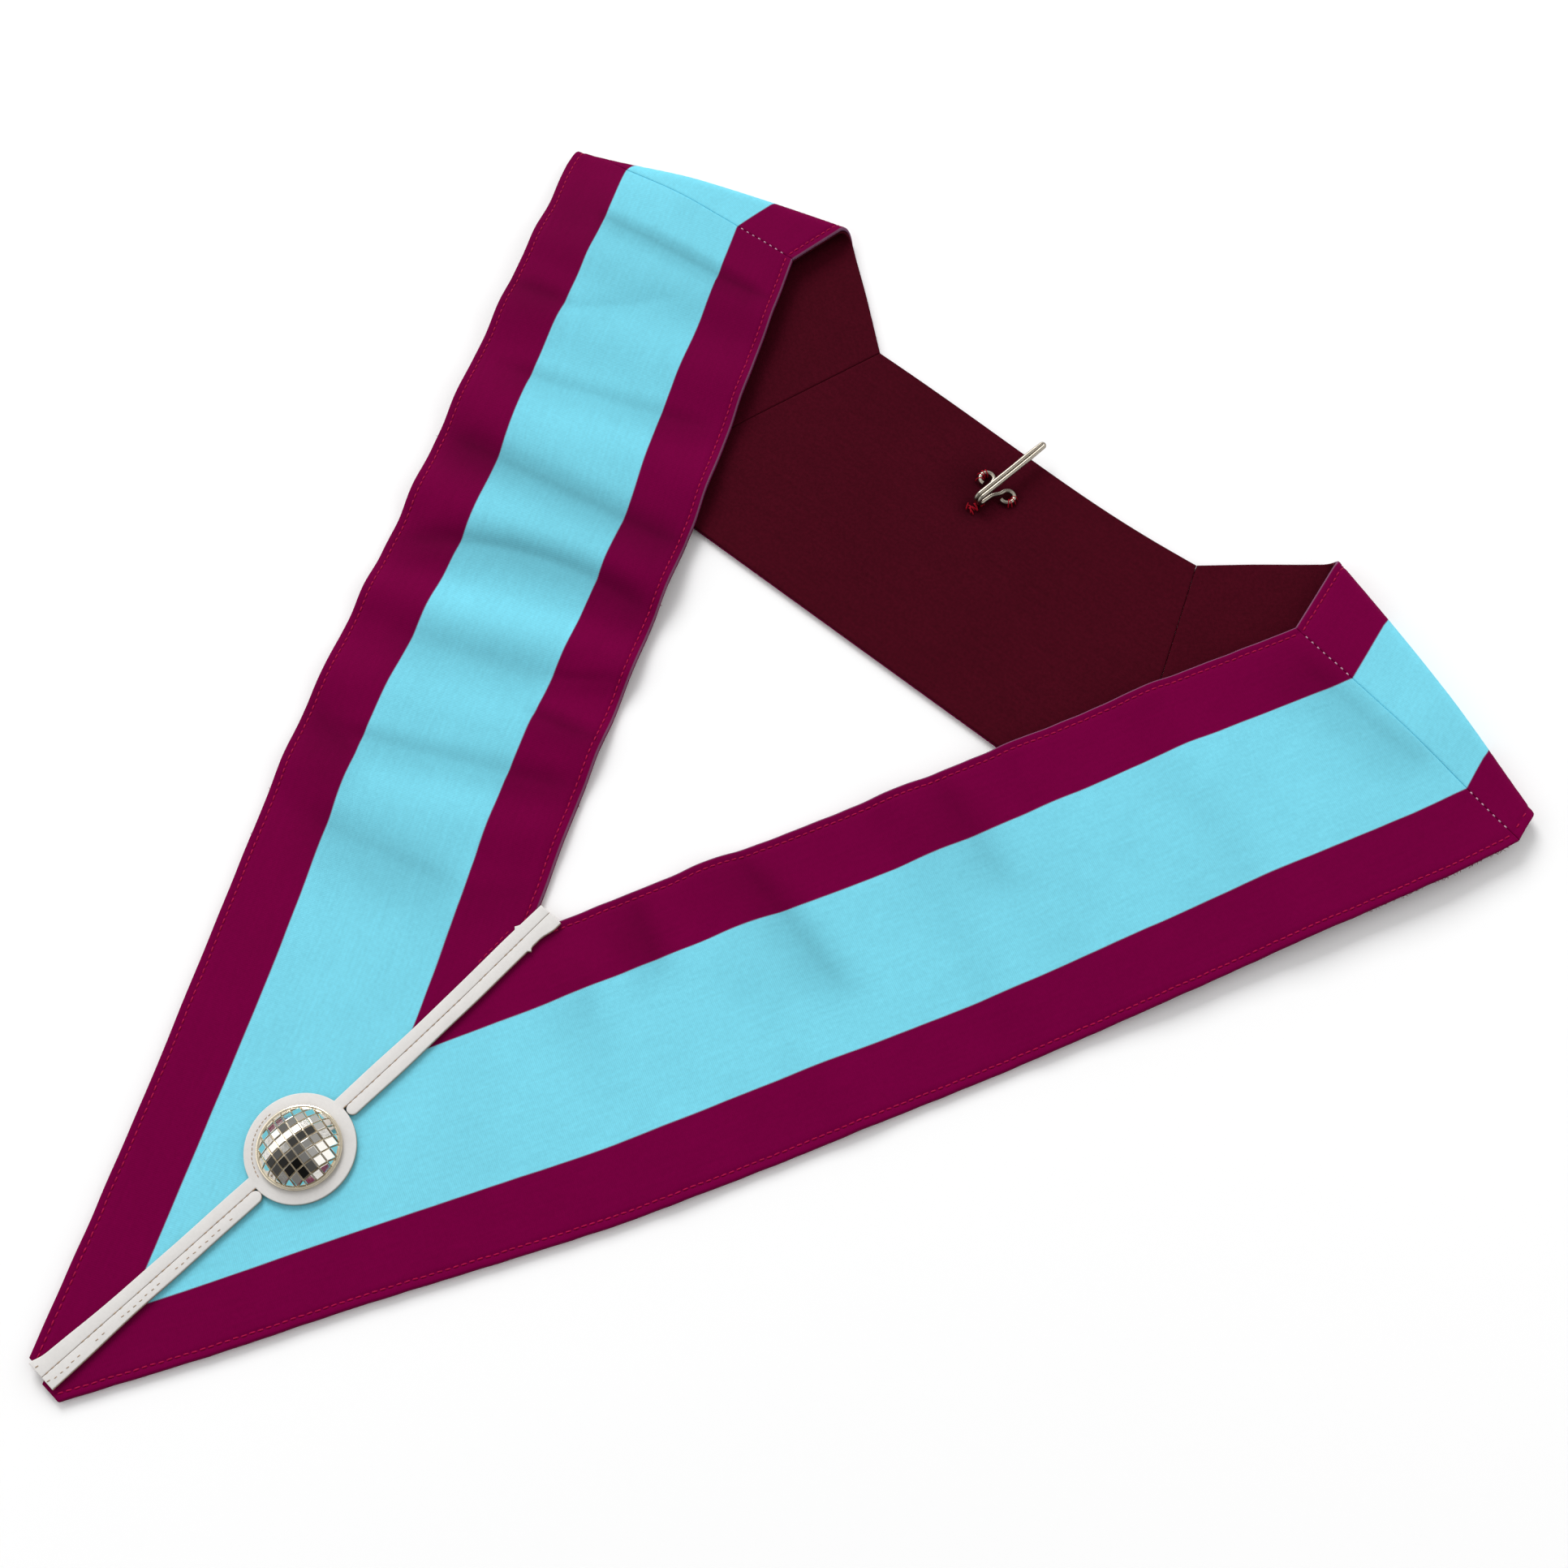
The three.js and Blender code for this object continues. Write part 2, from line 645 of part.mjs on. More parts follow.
// Wire along a list of points, closed at both ends
function wireAlong(points, radius) {
  const rings = [];
  const normal = new THREE.Vector3(0, 0, 1);
  points.forEach((point, i) => {
    const before = points[Math.max(i - 1, 0)];
    const after = points[Math.min(i + 1, points.length - 1)];
    const way = after.clone().sub(before).normalize();
    normal.addScaledVector(way, -normal.dot(way)).normalize();
    const across = new THREE.Vector3().crossVectors(way, normal);
    rings.push(Array.from({ length: wireSides }, (_, k) => {
      const angle = 2 * Math.PI * k / wireSides;
      return point.clone().addScaledVector(normal, radius * Math.cos(angle))
        .addScaledVector(across, radius * Math.sin(angle));
    }));
  });
  const faces = [];
  const index = (i, k) => i * wireSides + (k % wireSides);
  for (let i = 0; i < rings.length - 1; i += 1) {
    for (let k = 0; k < wireSides; k += 1) {
      faces.push(index(i, k), index(i, k + 1), index(i + 1, k + 1));
      faces.push(index(i, k), index(i + 1, k + 1), index(i + 1, k));
    }
  }
  const last = rings.length - 1;
  for (let k = 1; k < wireSides - 1; k += 1) {
    faces.push(index(0, 0), index(0, k + 1), index(0, k));
    faces.push(index(last, 0), index(last, k), index(last, k + 1));
  }
  const geometry = new THREE.BufferGeometry();
  const flat = rings.flat().flatMap((point) => point.toArray());
  geometry.setAttribute('position', new THREE.Float32BufferAttribute(flat, 3));
  geometry.setIndex(faces);
  return facingOut(geometry);
}

// One half of the hook's wire in its own frame: x along the bill, y across, z up
function hookHalf() {
  const wire = wireDiameter / 2;
  const low = backTop + clearance + wire;
  const bend = (hookOpening + wireDiameter) / 2;
  const high = low + 2 * bend;
  const pair = wire + halfGap;
  const loop = (hookLoopDiameter - wireDiameter) / 2 + wire / 2;
  const loopY = hookLoopSpread / 2;
  const loopSteps = 11;
  const loopSweep = THREE.MathUtils.degToRad(hookLoopSweep);
  const bendSteps = 6;
  const noseSteps = 3;
  const points = [];
  for (let i = 0; i <= loopSteps; i += 1) {
    const angle = -loopSweep * (1 - i / loopSteps);
    points.push(new THREE.Vector3(
      hookLoopFromBend - loop * Math.sin(angle), loopY - loop * Math.cos(angle), low,
    ));
  }
  points.push(new THREE.Vector3(hookLoopFromBend / 2 + wire, pair + halfGap, low));
  for (let i = 0; i <= bendSteps; i += 1) {
    const angle = Math.PI * i / bendSteps;
    points.push(new THREE.Vector3(
      wire + bend - bend * Math.sin(angle), pair, low + bend - bend * Math.cos(angle),
    ));
  }
  points.push(new THREE.Vector3(hookLength / 2, pair, high - halfGap));
  for (let i = 0; i <= noseSteps; i += 1) {
    const angle = Math.PI / 2 * i / noseSteps;
    points.push(new THREE.Vector3(
      hookLength - wire - pair + pair * Math.sin(angle), pair * Math.cos(angle), high,
    ));
  }
  return points;
}

function hookWire() {
  const half = hookHalf();
  const other = half.slice(0, -1).reverse()
    .map((point) => new THREE.Vector3(point.x, -point.y, point.z));
  const geometry = wireAlong([...half, ...other], wireDiameter / 2);
  const middle = backPlan(0.5, 0);
  const turn = Math.PI / 2 - THREE.MathUtils.degToRad(hookTurn);
  return geometry.rotateZ(turn)
    .translate(middle.x + hookOffCentre, middle.y - hookSetback, 0);
}

// Finishes
const blueRibbon = { color: 0x7fd6e8, roughness: 0.75, metalness: 0 };
const maroonLining = { color: 0x3f0512, roughness: 0.9, metalness: 0 };
const whiteStrip = { color: 0xdedfde, roughness: 0.6, metalness: 0 };
const silver = { color: 0xd9d6cc, roughness: 0.15, metalness: 1 };
const steel = { color: 0x8c8678, roughness: 0.35, metalness: 1 };

const collar = new THREE.Group();

function addPiece(name, geometry, finish) {
  const mesh = new THREE.Mesh(geometry, new THREE.MeshStandardMaterial(finish));
  mesh.name = name;
  collar.add(mesh);
}

for (const side of sides) {
  addPiece(`ribbon_front_${side.name}`, armWall(side, ribbonLayer), blueRibbon);
  addPiece(`ribbon_shoulder_${side.name}`, shoulderWall(side, ribbonLayer), blueRibbon);
  addPiece(`lining_front_${side.name}`, armWall(side, liningLayer), maroonLining);
  addPiece(`lining_shoulder_${side.name}`, shoulderWall(side, liningLayer), maroonLining);
}
addPiece('ribbon_back', backWall(ribbonLayer), blueRibbon);
addPiece('lining_back', backWall(liningLayer), maroonLining);
addPiece('braid_loop', braidLoop(), whiteStrip);
addPiece('braid_lower', buttedStrip(stripTip, -1), whiteStrip);
addPiece('braid_upper', buttedStrip(stripTop, 1), whiteStrip);
addPiece('button', buttonBody(), silver);
addPiece('hook', hookWire(), steel);

// The origin is the middle of the footprint, on the table
const box = new THREE.Box3().setFromObject(collar);
const centre = box.getCenter(new THREE.Vector3());
collar.position.set(-centre.x, -centre.y, -box.min.z);

export default collar;
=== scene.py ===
"""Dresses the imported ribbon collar: cloth, lining, stitching, braid, button and hook."""

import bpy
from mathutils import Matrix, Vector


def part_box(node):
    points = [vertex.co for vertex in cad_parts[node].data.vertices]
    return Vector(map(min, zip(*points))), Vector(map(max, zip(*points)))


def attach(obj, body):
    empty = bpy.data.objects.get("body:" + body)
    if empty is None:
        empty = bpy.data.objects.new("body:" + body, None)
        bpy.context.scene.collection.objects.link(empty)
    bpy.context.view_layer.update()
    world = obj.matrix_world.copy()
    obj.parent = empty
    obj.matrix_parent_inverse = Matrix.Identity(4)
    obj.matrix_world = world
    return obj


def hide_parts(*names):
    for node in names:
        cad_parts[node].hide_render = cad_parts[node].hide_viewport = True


bl_info = {
    "name": "Ribbon collar",
    "version": (1, 0, 0),
    "blender": (4, 5, 0),
    "location": "View3D > Sidebar > Collar",
    "description": "Cloth, stitching, braid, button and hook of a folded ribbon collar",
    "category": "Object",
}

import math
import random

import bpy
import numpy as np
from bpy.props import FloatProperty, FloatVectorProperty, PointerProperty
from mathutils import Matrix, Vector

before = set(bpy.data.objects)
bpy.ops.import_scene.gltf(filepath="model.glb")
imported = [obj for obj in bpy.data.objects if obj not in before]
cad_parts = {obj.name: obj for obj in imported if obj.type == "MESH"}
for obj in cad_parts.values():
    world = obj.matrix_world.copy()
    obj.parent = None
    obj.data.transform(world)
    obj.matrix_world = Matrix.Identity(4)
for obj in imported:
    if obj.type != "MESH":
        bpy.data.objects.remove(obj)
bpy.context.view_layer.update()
MM = 0.001


def table(heads, *rows):
    """Rows of values under the names in one heading line"""
    return [dict(zip(heads.split(), row)) for row in rows]


# Each side of the collar. "at" is a share of the arm's length from the neck corner and
# runs on past 1 over the shoulder. Outline columns are shares of the ribbon width, and
# "eased" moves a column in or out from one place up to the shoulder.
# Waves rise between the creases: height and reach are shares of the named sizes.
# A crease crosses the ribbon from share "near" to share "far", slanted and arched; its depth also sets the
# painted shade that darkens the cloth's colour along it.
OUTLINE = "at edge neck drift"
EASED = "column after by"
EASED_TO = 0.95
WAVES = "at slant height reach fade"
CREASES = "at slant arch near far width depth"
SIDES = [
    {
        "name": "left",
        "sign": -1,
        "tip_cut": 44.0 * MM,
        "fold_setback": 28.4 * MM,
        "fold_angle": 22.0,
        "droop": 0.6,
        "eased": table(EASED, ("edge", -1, 0.008)),
        "outline": table(
            OUTLINE,
            (-0.62, 0.946, 0, 0),
            (-0.49, 0.951, 0, 0),
            (-0.3, 0.965, 0, 0),
            (-0.12, 0.989, 0, -0.004),
            (0.16, 1.022, 0.013, 0.012),
            (0.38, 1.012, 0.002, -0.006),
            (0.55, 0.999, -0.012, -0.014),
            (0.72, 0.991, -0.01, 0.008),
            (0.86, 0.984, -0.005, 0),
            (1, 0.987, 0, 0),
            (1.07, 0.994, 0, 0),
            (1.11, 0.98, 0, 0),
            (1.18, 0.988, 0, 0),
            (1.26, 1, 0, 0),
        ),
        "waves": table(
            WAVES,
            (0.11, 0.02, 0.55, 0.85, 0.1),
            (0.24, 0.02, 0.7, 0.9, 0.1),
            (0.36, 0.03, 0.9, 0.8, 0),
            (0.485, 0.12, 1, 0.95, 0),
            (0.63, 0.14, 0.85, 1.05, 0.1),
            (0.785, 0.1, 0.7, 1, 0.1),
            (0.895, 0.14, 0.55, 0.75, 0.2),
        ),
        "creases": table(
            CREASES,
            (0.95, 0.3, 0, 0, 1, 6, 0.35),
            (0.964, 0.27, 0, 0.04, 0.8, 1, 1),
            (0.852, 0.15, 0, 0.74, 1, 1.6, 0.9),
            (0.862, -0.4, 0, 0.42, 0.76, 1.5, 0.4),
            (0.722, 0.04, 0, 0.08, 0.86, 1.2, 0.55),
            (0.576, 0.2, 0, 0, 0.96, 1.6, 1.1),
            (0.442, 0.03, 0.09, 0.02, 0.95, 1.4, 0.9),
            (0.317, 0.02, 0, 0.24, 0.82, 1.7, 0.55),
            (0.262, 0.16, 0, 0, 0.27, 0.8, 0.8),
            (0.33, -0.2, 0, 0.02, 0.26, 0.6, 0.35),
            (0.17, 0.5, 0, 0.74, 1, 2, 0.7),
            (0.183, -0.05, 0, 0.03, 0.86, 1, 0.65),
            (0.046, 0.15, 0, 0.28, 0.84, 1.7, 0.7),
            (0.03, -0.4, 0, 0.05, 0.28, 1, 0.3),
        ),
    },
    {
        "name": "right",
        "sign": 1,
        "tip_cut": 41.8 * MM,
        "fold_setback": 35.4 * MM,
        "fold_angle": 18.9,
        "droop": 0.35,
        "eased": table(EASED, ("edge", -0.35, -0.006), ("neck", -0.05, -0.008)),
        "outline": table(
            OUTLINE,
            (-0.65, 0.838, 0, 0),
            (-0.46, 0.888, 0, 0),
            (-0.3, 0.927, 0, 0),
            (-0.11, 0.977, 0, -0.004),
            (0, 1, 0.004, 0),
            (0.19, 1.012, 0.002, -0.004),
            (0.45, 1.017, 0.011, 0.006),
            (0.65, 1.012, 0.008, 0),
            (0.83, 1, 0.003, -0.005),
            (1, 0.988, 0, 0),
            (1.07, 0.976, 0, 0),
            (1.11, 0.968, 0, 0),
            (1.16, 0.972, 0, 0),
            (1.24, 0.98, 0, 0),
        ),
        "waves": table(
            WAVES,
            (0.02, 0.1, 0.5, 0.85, 0.6),
            (0.22, 0.12, 1, 0.95, 0.7),
            (0.46, 0.1, 0.75, 0.8, 0.7),
            (0.62, 0.08, 0.45, 0.75, 0.7),
            (0.79, 0.12, 0.7, 0.9, 0.6),
        ),
        "creases": table(
            CREASES,
            (0.124, 0, 0, 0.02, 0.3, 1.2, 0.7),
            (0.03, -0.1, 0, 0.2, 0.42, 1.2, 0.3),
            (0.285, 0.26, 0, 0.02, 0.56, 1.4, 0.7),
            (0.525, 0.13, 0, 0.04, 0.44, 1.6, 0.5),
            (1.015, 0.36, 0, 0.12, 0.62, 1.6, 0.6),
        ),
    },
]

# Shares of the ribbon width along a ridge: where its outer corner starts to droop and is
# down, and how long the ridge is
DROOP_FROM = 0.6
DROOP_TO = 1.08
RIDGE_SPAN = 1.06
CLOTH_UNEVEN = 0.12 * MM
SOFT_FLOOR = 0.35 * MM
CREASE_SOFT = 0.1
EDGE_SKIN = 0.08 * MM
HIDDEN_ROUNDING = 0.12


def srgb(red, green, blue):
    """Linear colour of a screen colour given in 0 to 255"""
    shares = (red / 255, green / 255, blue / 255)
    return tuple(c / 12.92 if c <= 0.04045 else ((c + 0.055) / 1.055) ** 2.4 for c in shares)


def length(name, text, millimetres):
    """A size property with its default given in millimetres"""
    return FloatProperty(name=name, description=text, default=millimetres * MM, precision=5, unit="LENGTH")


def number(name, text, value):
    """A plain number property"""
    return FloatProperty(name=name, description=text, default=value)


def degrees(name, text, angle):
    """An angle property with its default given in degrees"""
    return FloatProperty(name=name, description=text, default=math.radians(angle), subtype="ANGLE")


def colour(name, text, *screen):
    """A colour property with its default given as a screen colour"""
    screen = srgb(*screen)
    return FloatVectorProperty(name=name, description=text, default=screen, subtype="COLOR", min=0, max=1)


class CollarCut(bpy.types.PropertyGroup):
    """Cut and lay of the collar"""

    ribbon_width: length("Ribbon width", "Width of the ribbon, edge to edge", 101.6)
    ribbon_wall: length("Ribbon wall", "Thickness of the ribbon with its stiffening", 1.2)
    lining_wall: length("Lining wall", "Thickness of the lining", 1.0)
    clearance: length("Clearance", "Gap between pieces that touch", 0.3)
    ridge_bulge: length("Ridge bulge", "How far the middle of a shoulder ridge bows out", 1.4)
    ridge_skew: length("Ridge skew", "How much further out a ridge stands at its outer end", 2.2)
    seam_gap: length("Seam gap", "Groove along a seam", 0.1)
    half_angle: degrees("Half angle", "Angle between an arm and the middle line", 24.8)
    arm_length: length("Arm length", "Neck edge from the point of the V to the shoulder seam", 282.9)
    shoulder_turn: degrees("Shoulder turn", "Change of direction at the shoulder seam", 34.0)
    shoulder_length: length("Shoulder length", "Neck edge of a shoulder piece", 85.5)
    back_turn: degrees("Back turn", "Change of direction at the back seam", 39.9)
    back_dip: length("Back dip", "How far the back neck edge dips in", 2.2)
    back_dip_place: number("Dip place", "Share of the back edge where it dips most", 0.69)
    fold_height: length("Fold height", "Height of the shoulder folds", 9.5)
    stack_gap: length("Stack gap", "Space between the front and the back layers", 0.6)
    lift_run: length("Lift run", "Length over which an arm climbs onto the back panel", 70)
    lift_margin: length("Lift margin", "Distance before the back panel where the climb ends", 6)
    fold_blend: length("Fold blend", "Length over which waves die out before a fold", 25)
    seam_flat: length("Flat seam", "Flat ribbon beside the centre seam", 6)
    seam_blend: length("Seam blend", "Length over which waves rise beside the centre seam", 22)
    wave_height: length("Wave height", "Height of the tallest wave", 2.6)
    wave_reach: length("Wave reach", "Half the length of a wave", 19)
    crease_width: length("Crease width", "Half width of a crease", 3.0)
    crease_depth: length("Crease depth", "Depth of a crease between its shoulders", 2.1)
    tip_sway: length("Tip sway", "Sideways drift of the centre seam at the tip", 7)
    sway_start: length("Sway start", "Where the drift starts, below the point of the V", 27)
    sway_power: number("Sway power", "How late the drift sets in", 1.5)


class CollarSewing(bpy.types.PropertyGroup):
    """Edges and stitches"""

    rim_radius: length("Rim radius", "Rounding of the turned edges", 0.7)
    stitch_inset: length("Stitch inset", "Distance of the edge stitching from the edge", 2.7)
    channel_depth: length("Channel depth", "Depth of the channel that the stitches pull", 0.28)
    channel_width: length("Channel width", "Half width of that channel", 0.75)
    edge_wobble: length("Edge wobble", "Unevenness of the turned edges", 0.16)
    stitch_pitch: length("Stitch pitch", "Distance from stitch to stitch", 2.55)
    stitch_length: length("Stitch length", "Length of one stitch", 2.05)
    stitch_radius: length("Stitch radius", "Half the thickness of a stitch", 0.3)
    seam_pitch: length("Seam pitch", "Distance between the stitches in a shoulder seam", 2.6)
    seam_stitch: length("Seam stitch", "Length of a stitch in a shoulder seam", 1.1)
    inner_band: length("Inner band", "Width of the border at the neck edge", 25.6)
    middle_band: length("Middle band", "Width of the light band", 52.1)


class CollarTrim(bpy.types.PropertyGroup):
    """Braid, button and hook"""

    strip_width: length("Strip width", "Width of one strip of braid", 4.1)
    strip_wall: length("Strip thickness", "Thickness of the braid", 1.4)
    strip_gap: length("Strip gap", "Groove between the two strips", 0.08)
    strip_round: length("Strip rounding", "Rounding of the braid's edges", 0.35)
    strip_top: length("Strip top", "How far the braid runs past the point of the V", 9)
    strip_tip: length("Strip tip", "How far the braid runs past the blunt tip", 0.8)
    tip_widening: length("Tip widening", "Extra width of a strip at the tip", 1.0)
    tip_run: length("Tip run", "Length over which a strip widens", 40)
    ring_outer: length("Ring diameter", "Outer diameter of the ring of braid", 35.7)
    ring_inner: length("Ring hole", "Inner diameter of the ring of braid", 25.4)
    ring_from_tip: length("Ring place", "Distance of the ring's middle from the tip", 98.7)
    button_width: length("Button diameter", "Diameter over the rim", 27.3)
    rim_width: length("Button rim width", "Width of the flat rim", 1.2)
    rim_height: length("Button rim height", "Height of the flat rim", 1.2)
    dome_height: length("Dome height", "Height of the dome over the rim", 7)
    check_pitch: length("Check pitch", "Distance from check to check", 3.0)
    check_rise: length("Check rise", "Height of a check over its groove", 0.4)
    check_turn: degrees("Check turn", "Turn of the checks against the seam", -8)
    wire_width: length("Wire", "Thickness of the hook's wire", 1.6)
    hook_length: length("Hook length", "Bend to nose", 35)
    hook_setback: length("Hook setback", "Distance of the bend from the neck edge", 29.3)
    hook_offset: length("Hook offset", "Sideways place of the bend", -1.9)
    hook_turn: degrees("Hook turn", "Turn of the hook against the middle line", 5.4)
    hook_opening: length("Hook opening", "Space between the bill and the wire below", 2.6)
    loop_width: length("Loop diameter", "Diameter of a sewing loop", 5.8)
    loop_sweep: degrees("Loop sweep", "How far the wire runs round a loop", 285)
    loop_from_bend: length("Loop place", "Distance of the loops from the bend", 11)
    loop_spread: length("Loop spread", "Distance between the loops", 10.6)


class CollarColours(bpy.types.PropertyGroup):
    """Colours of the cloth, threads and metal"""

    light: colour("Light band", "Middle of the ribbon", 122, 211, 231)
    border: colour("Border", "Borders of the ribbon", 112, 0, 59)
    # Painted highlight along the turned neck edge; the same pale colour also draws a fine line along the band
    # boundaries
    edge_highlight: colour("Edge highlight", "Turned neck edge of the ribbon", 128, 92, 118)
    lining: colour("Lining", "Lining cloth", 66, 7, 22)
    edge_thread: colour("Edge thread", "Stitching along the edges", 158, 3, 64)
    seam_thread: colour("Seam thread", "Stitches in the shoulder seams", 196, 150, 172)
    braid: colour("Braid", "Braid strips", 220, 217, 214)
    braid_side: colour("Braid side", "Cut sides of the braid", 176, 152, 130)
    mark: colour("Braid marks", "Stitch marks on the braid", 170, 146, 122)
    silver: colour("Silver", "Button", 236, 233, 226)
    tarnish: colour("Tarnish", "Grooves between the checks", 214, 206, 190)
    rim: colour("Rim", "Rim of the button", 232, 220, 196)
    wire: colour("Wire", "Hook", 158, 150, 138)
    hook_thread: colour("Hook thread", "Thread that holds the hook", 150, 5, 28)
    floor: colour("Floor", "Ground under the collar", 254, 254, 254)


def heading(angle):
    """Plan direction at an angle from the middle line"""
    return np.array([math.sin(angle), math.cos(angle)])


def outward(angle):
    """Plan direction square to a heading, away from the middle line"""
    return np.array([math.cos(angle), -math.sin(angle)])


def smoothstep(value, low, high):
    """Smooth rise from 0 to 1"""
    t = np.clip((value - low) / (high - low), 0, 1)
    return t * t * (3 - 2 * t)


def column(rows, key, at):
    """Smooth values of one column of a table at given places"""
    places = np.array([row["at"] for row in rows], float)
    values = np.array([row[key] for row in rows], float)
    i = np.clip(np.searchsorted(places, at, side="left") - 1, 0, len(rows) - 2)
    before = np.maximum(i - 1, 0)
    after = np.minimum(i + 2, len(rows) - 1)
    span = places[i + 1] - places[i]
    t = np.clip((at - places[i]) / span, 0, 1)
    leaving = (values[i + 1] - values[before]) / (places[i + 1] - places[before]) * span
    arriving = (values[after] - values[i]) / (places[after] - places[i]) * span
    t2 = t * t
    t3 = t2 * t
    start = (2 * t3 - 3 * t2 + 1) * values[i] + (t3 - 2 * t2 + t) * leaving
    return start + (3 * t2 - 2 * t3) * values[i + 1] + (t3 - t2) * arriving


def eased(rows, moves):
    """Copies of the outline rows with some columns moved in or out before the shoulder"""
    copies = [dict(row) for row in rows]
    for move in moves:
        for row in copies:
            if move["after"] < row["at"] < EASED_TO:
                row[move["column"]] += move["by"]
    return copies


def uneven(a, b, seed):
    """Soft unevenness between -1 and 1 over two coordinates in metres"""
    dice = random.Random(seed)
    total = np.zeros(np.broadcast(a, b).shape)
    for wave_length in (0.047, 0.029, 0.018, 0.011):
        angle = dice.uniform(0, math.pi)
        phase = dice.uniform(0, 2 * math.pi)
        place = a * math.cos(angle) + b * math.sin(angle)
        total += np.sin(2 * math.pi * place / wave_length + phase)
    return total / 4


class Lay:
    """Levels and plan of the collar as it lies on the table"""

    def __init__(self):
        cut = bpy.context.scene.collar_cut
        trim = bpy.context.scene.collar_trim
        self.cut = cut
        self.half_gap = cut.clearance / 2
        self.back_level = cut.ribbon_wall + self.half_gap
        self.back_top = cut.ribbon_wall + cut.clearance + cut.lining_wall
        self.rest_level = cut.lining_wall + self.half_gap
        self.front_top = cut.lining_wall + cut.clearance + cut.ribbon_wall
        self.stack_level = self.back_top + cut.stack_gap + self.rest_level
        self.fold_radius = cut.fold_height / 2 - self.back_level
        self.fold_centre = self.back_level + self.fold_radius
        self.fold_level = self.back_level + 2 * self.fold_radius
        self.fold_arc = math.pi * self.fold_radius
        self.neck_corner = np.array([0, cut.ribbon_width / math.sin(cut.half_angle)])
        self.tip_end = max(spec["tip_cut"] for spec in SIDES)
        self.ring_y = self.tip_end + trim.ring_from_tip
        self.ring_centre = np.array([self.seam_x(self.ring_y), self.ring_y])
        low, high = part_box("button")
        self.shift = (np.array(low)[:2] + np.array(high)[:2]) / 2 - self.ring_centre
        self.sides = [Side(self, spec) for spec in SIDES]
        outer = [side.back_neck + side.back_seam_way * cut.ribbon_width for side in self.sides]
        self.lift_end = min(point[1] for point in outer) - cut.lift_margin
        self.shoulder_y = self.sides[0].seam_neck[1]

    def seam_x(self, y):
        """Sideways place of the centre seam"""
        top = self.neck_corner[1] - self.cut.sway_start
        t = np.clip((top - y) / (top - self.tip_end), 0, 1)
        return -self.cut.tip_sway * t**self.cut.sway_power

    def front_level(self, y, beyond):
        """Height of the front layer: on the table, then up and over the back layer"""
        climb = smoothstep(y, self.lift_end - self.cut.lift_run, self.lift_end)
        rise = np.clip((y - self.lift_end) / (self.shoulder_y - self.lift_end), 0, 1)
        level = self.rest_level + (self.stack_level - self.rest_level) * climb
        level = level + (self.fold_level - self.stack_level) * rise
        blend = smoothstep(beyond, -self.cut.fold_blend, 0)
        return level + (self.fold_level - level) * blend

    def back_plan(self, part, share):
        """Plan of the back panel, from the left seam to the right one"""
        ends = []
        for side in self.sides:
            point = side.back_neck + np.multiply.outer(share, side.back_seam_way * self.cut.ribbon_width)
            point = point + side.behind_way * self.cut.seam_gap / 2
            ends.append(point * np.array([side.sign, 1]))
        plan = ends[0] + (ends[1] - ends[0]) * part[..., None]
        skewed = part ** (math.log(0.5) / math.log(self.cut.back_dip_place))
        dip = self.cut.back_dip * np.sin(np.pi * skewed) * (1 - share)
        return plan - np.stack([np.zeros_like(dip), dip], axis=-1)

    def in_frame(self, x, y, z):
        """Points of the plan as points of the frame"""
        return np.stack([x + self.shift[0], y + self.shift[1], z], axis=-1)


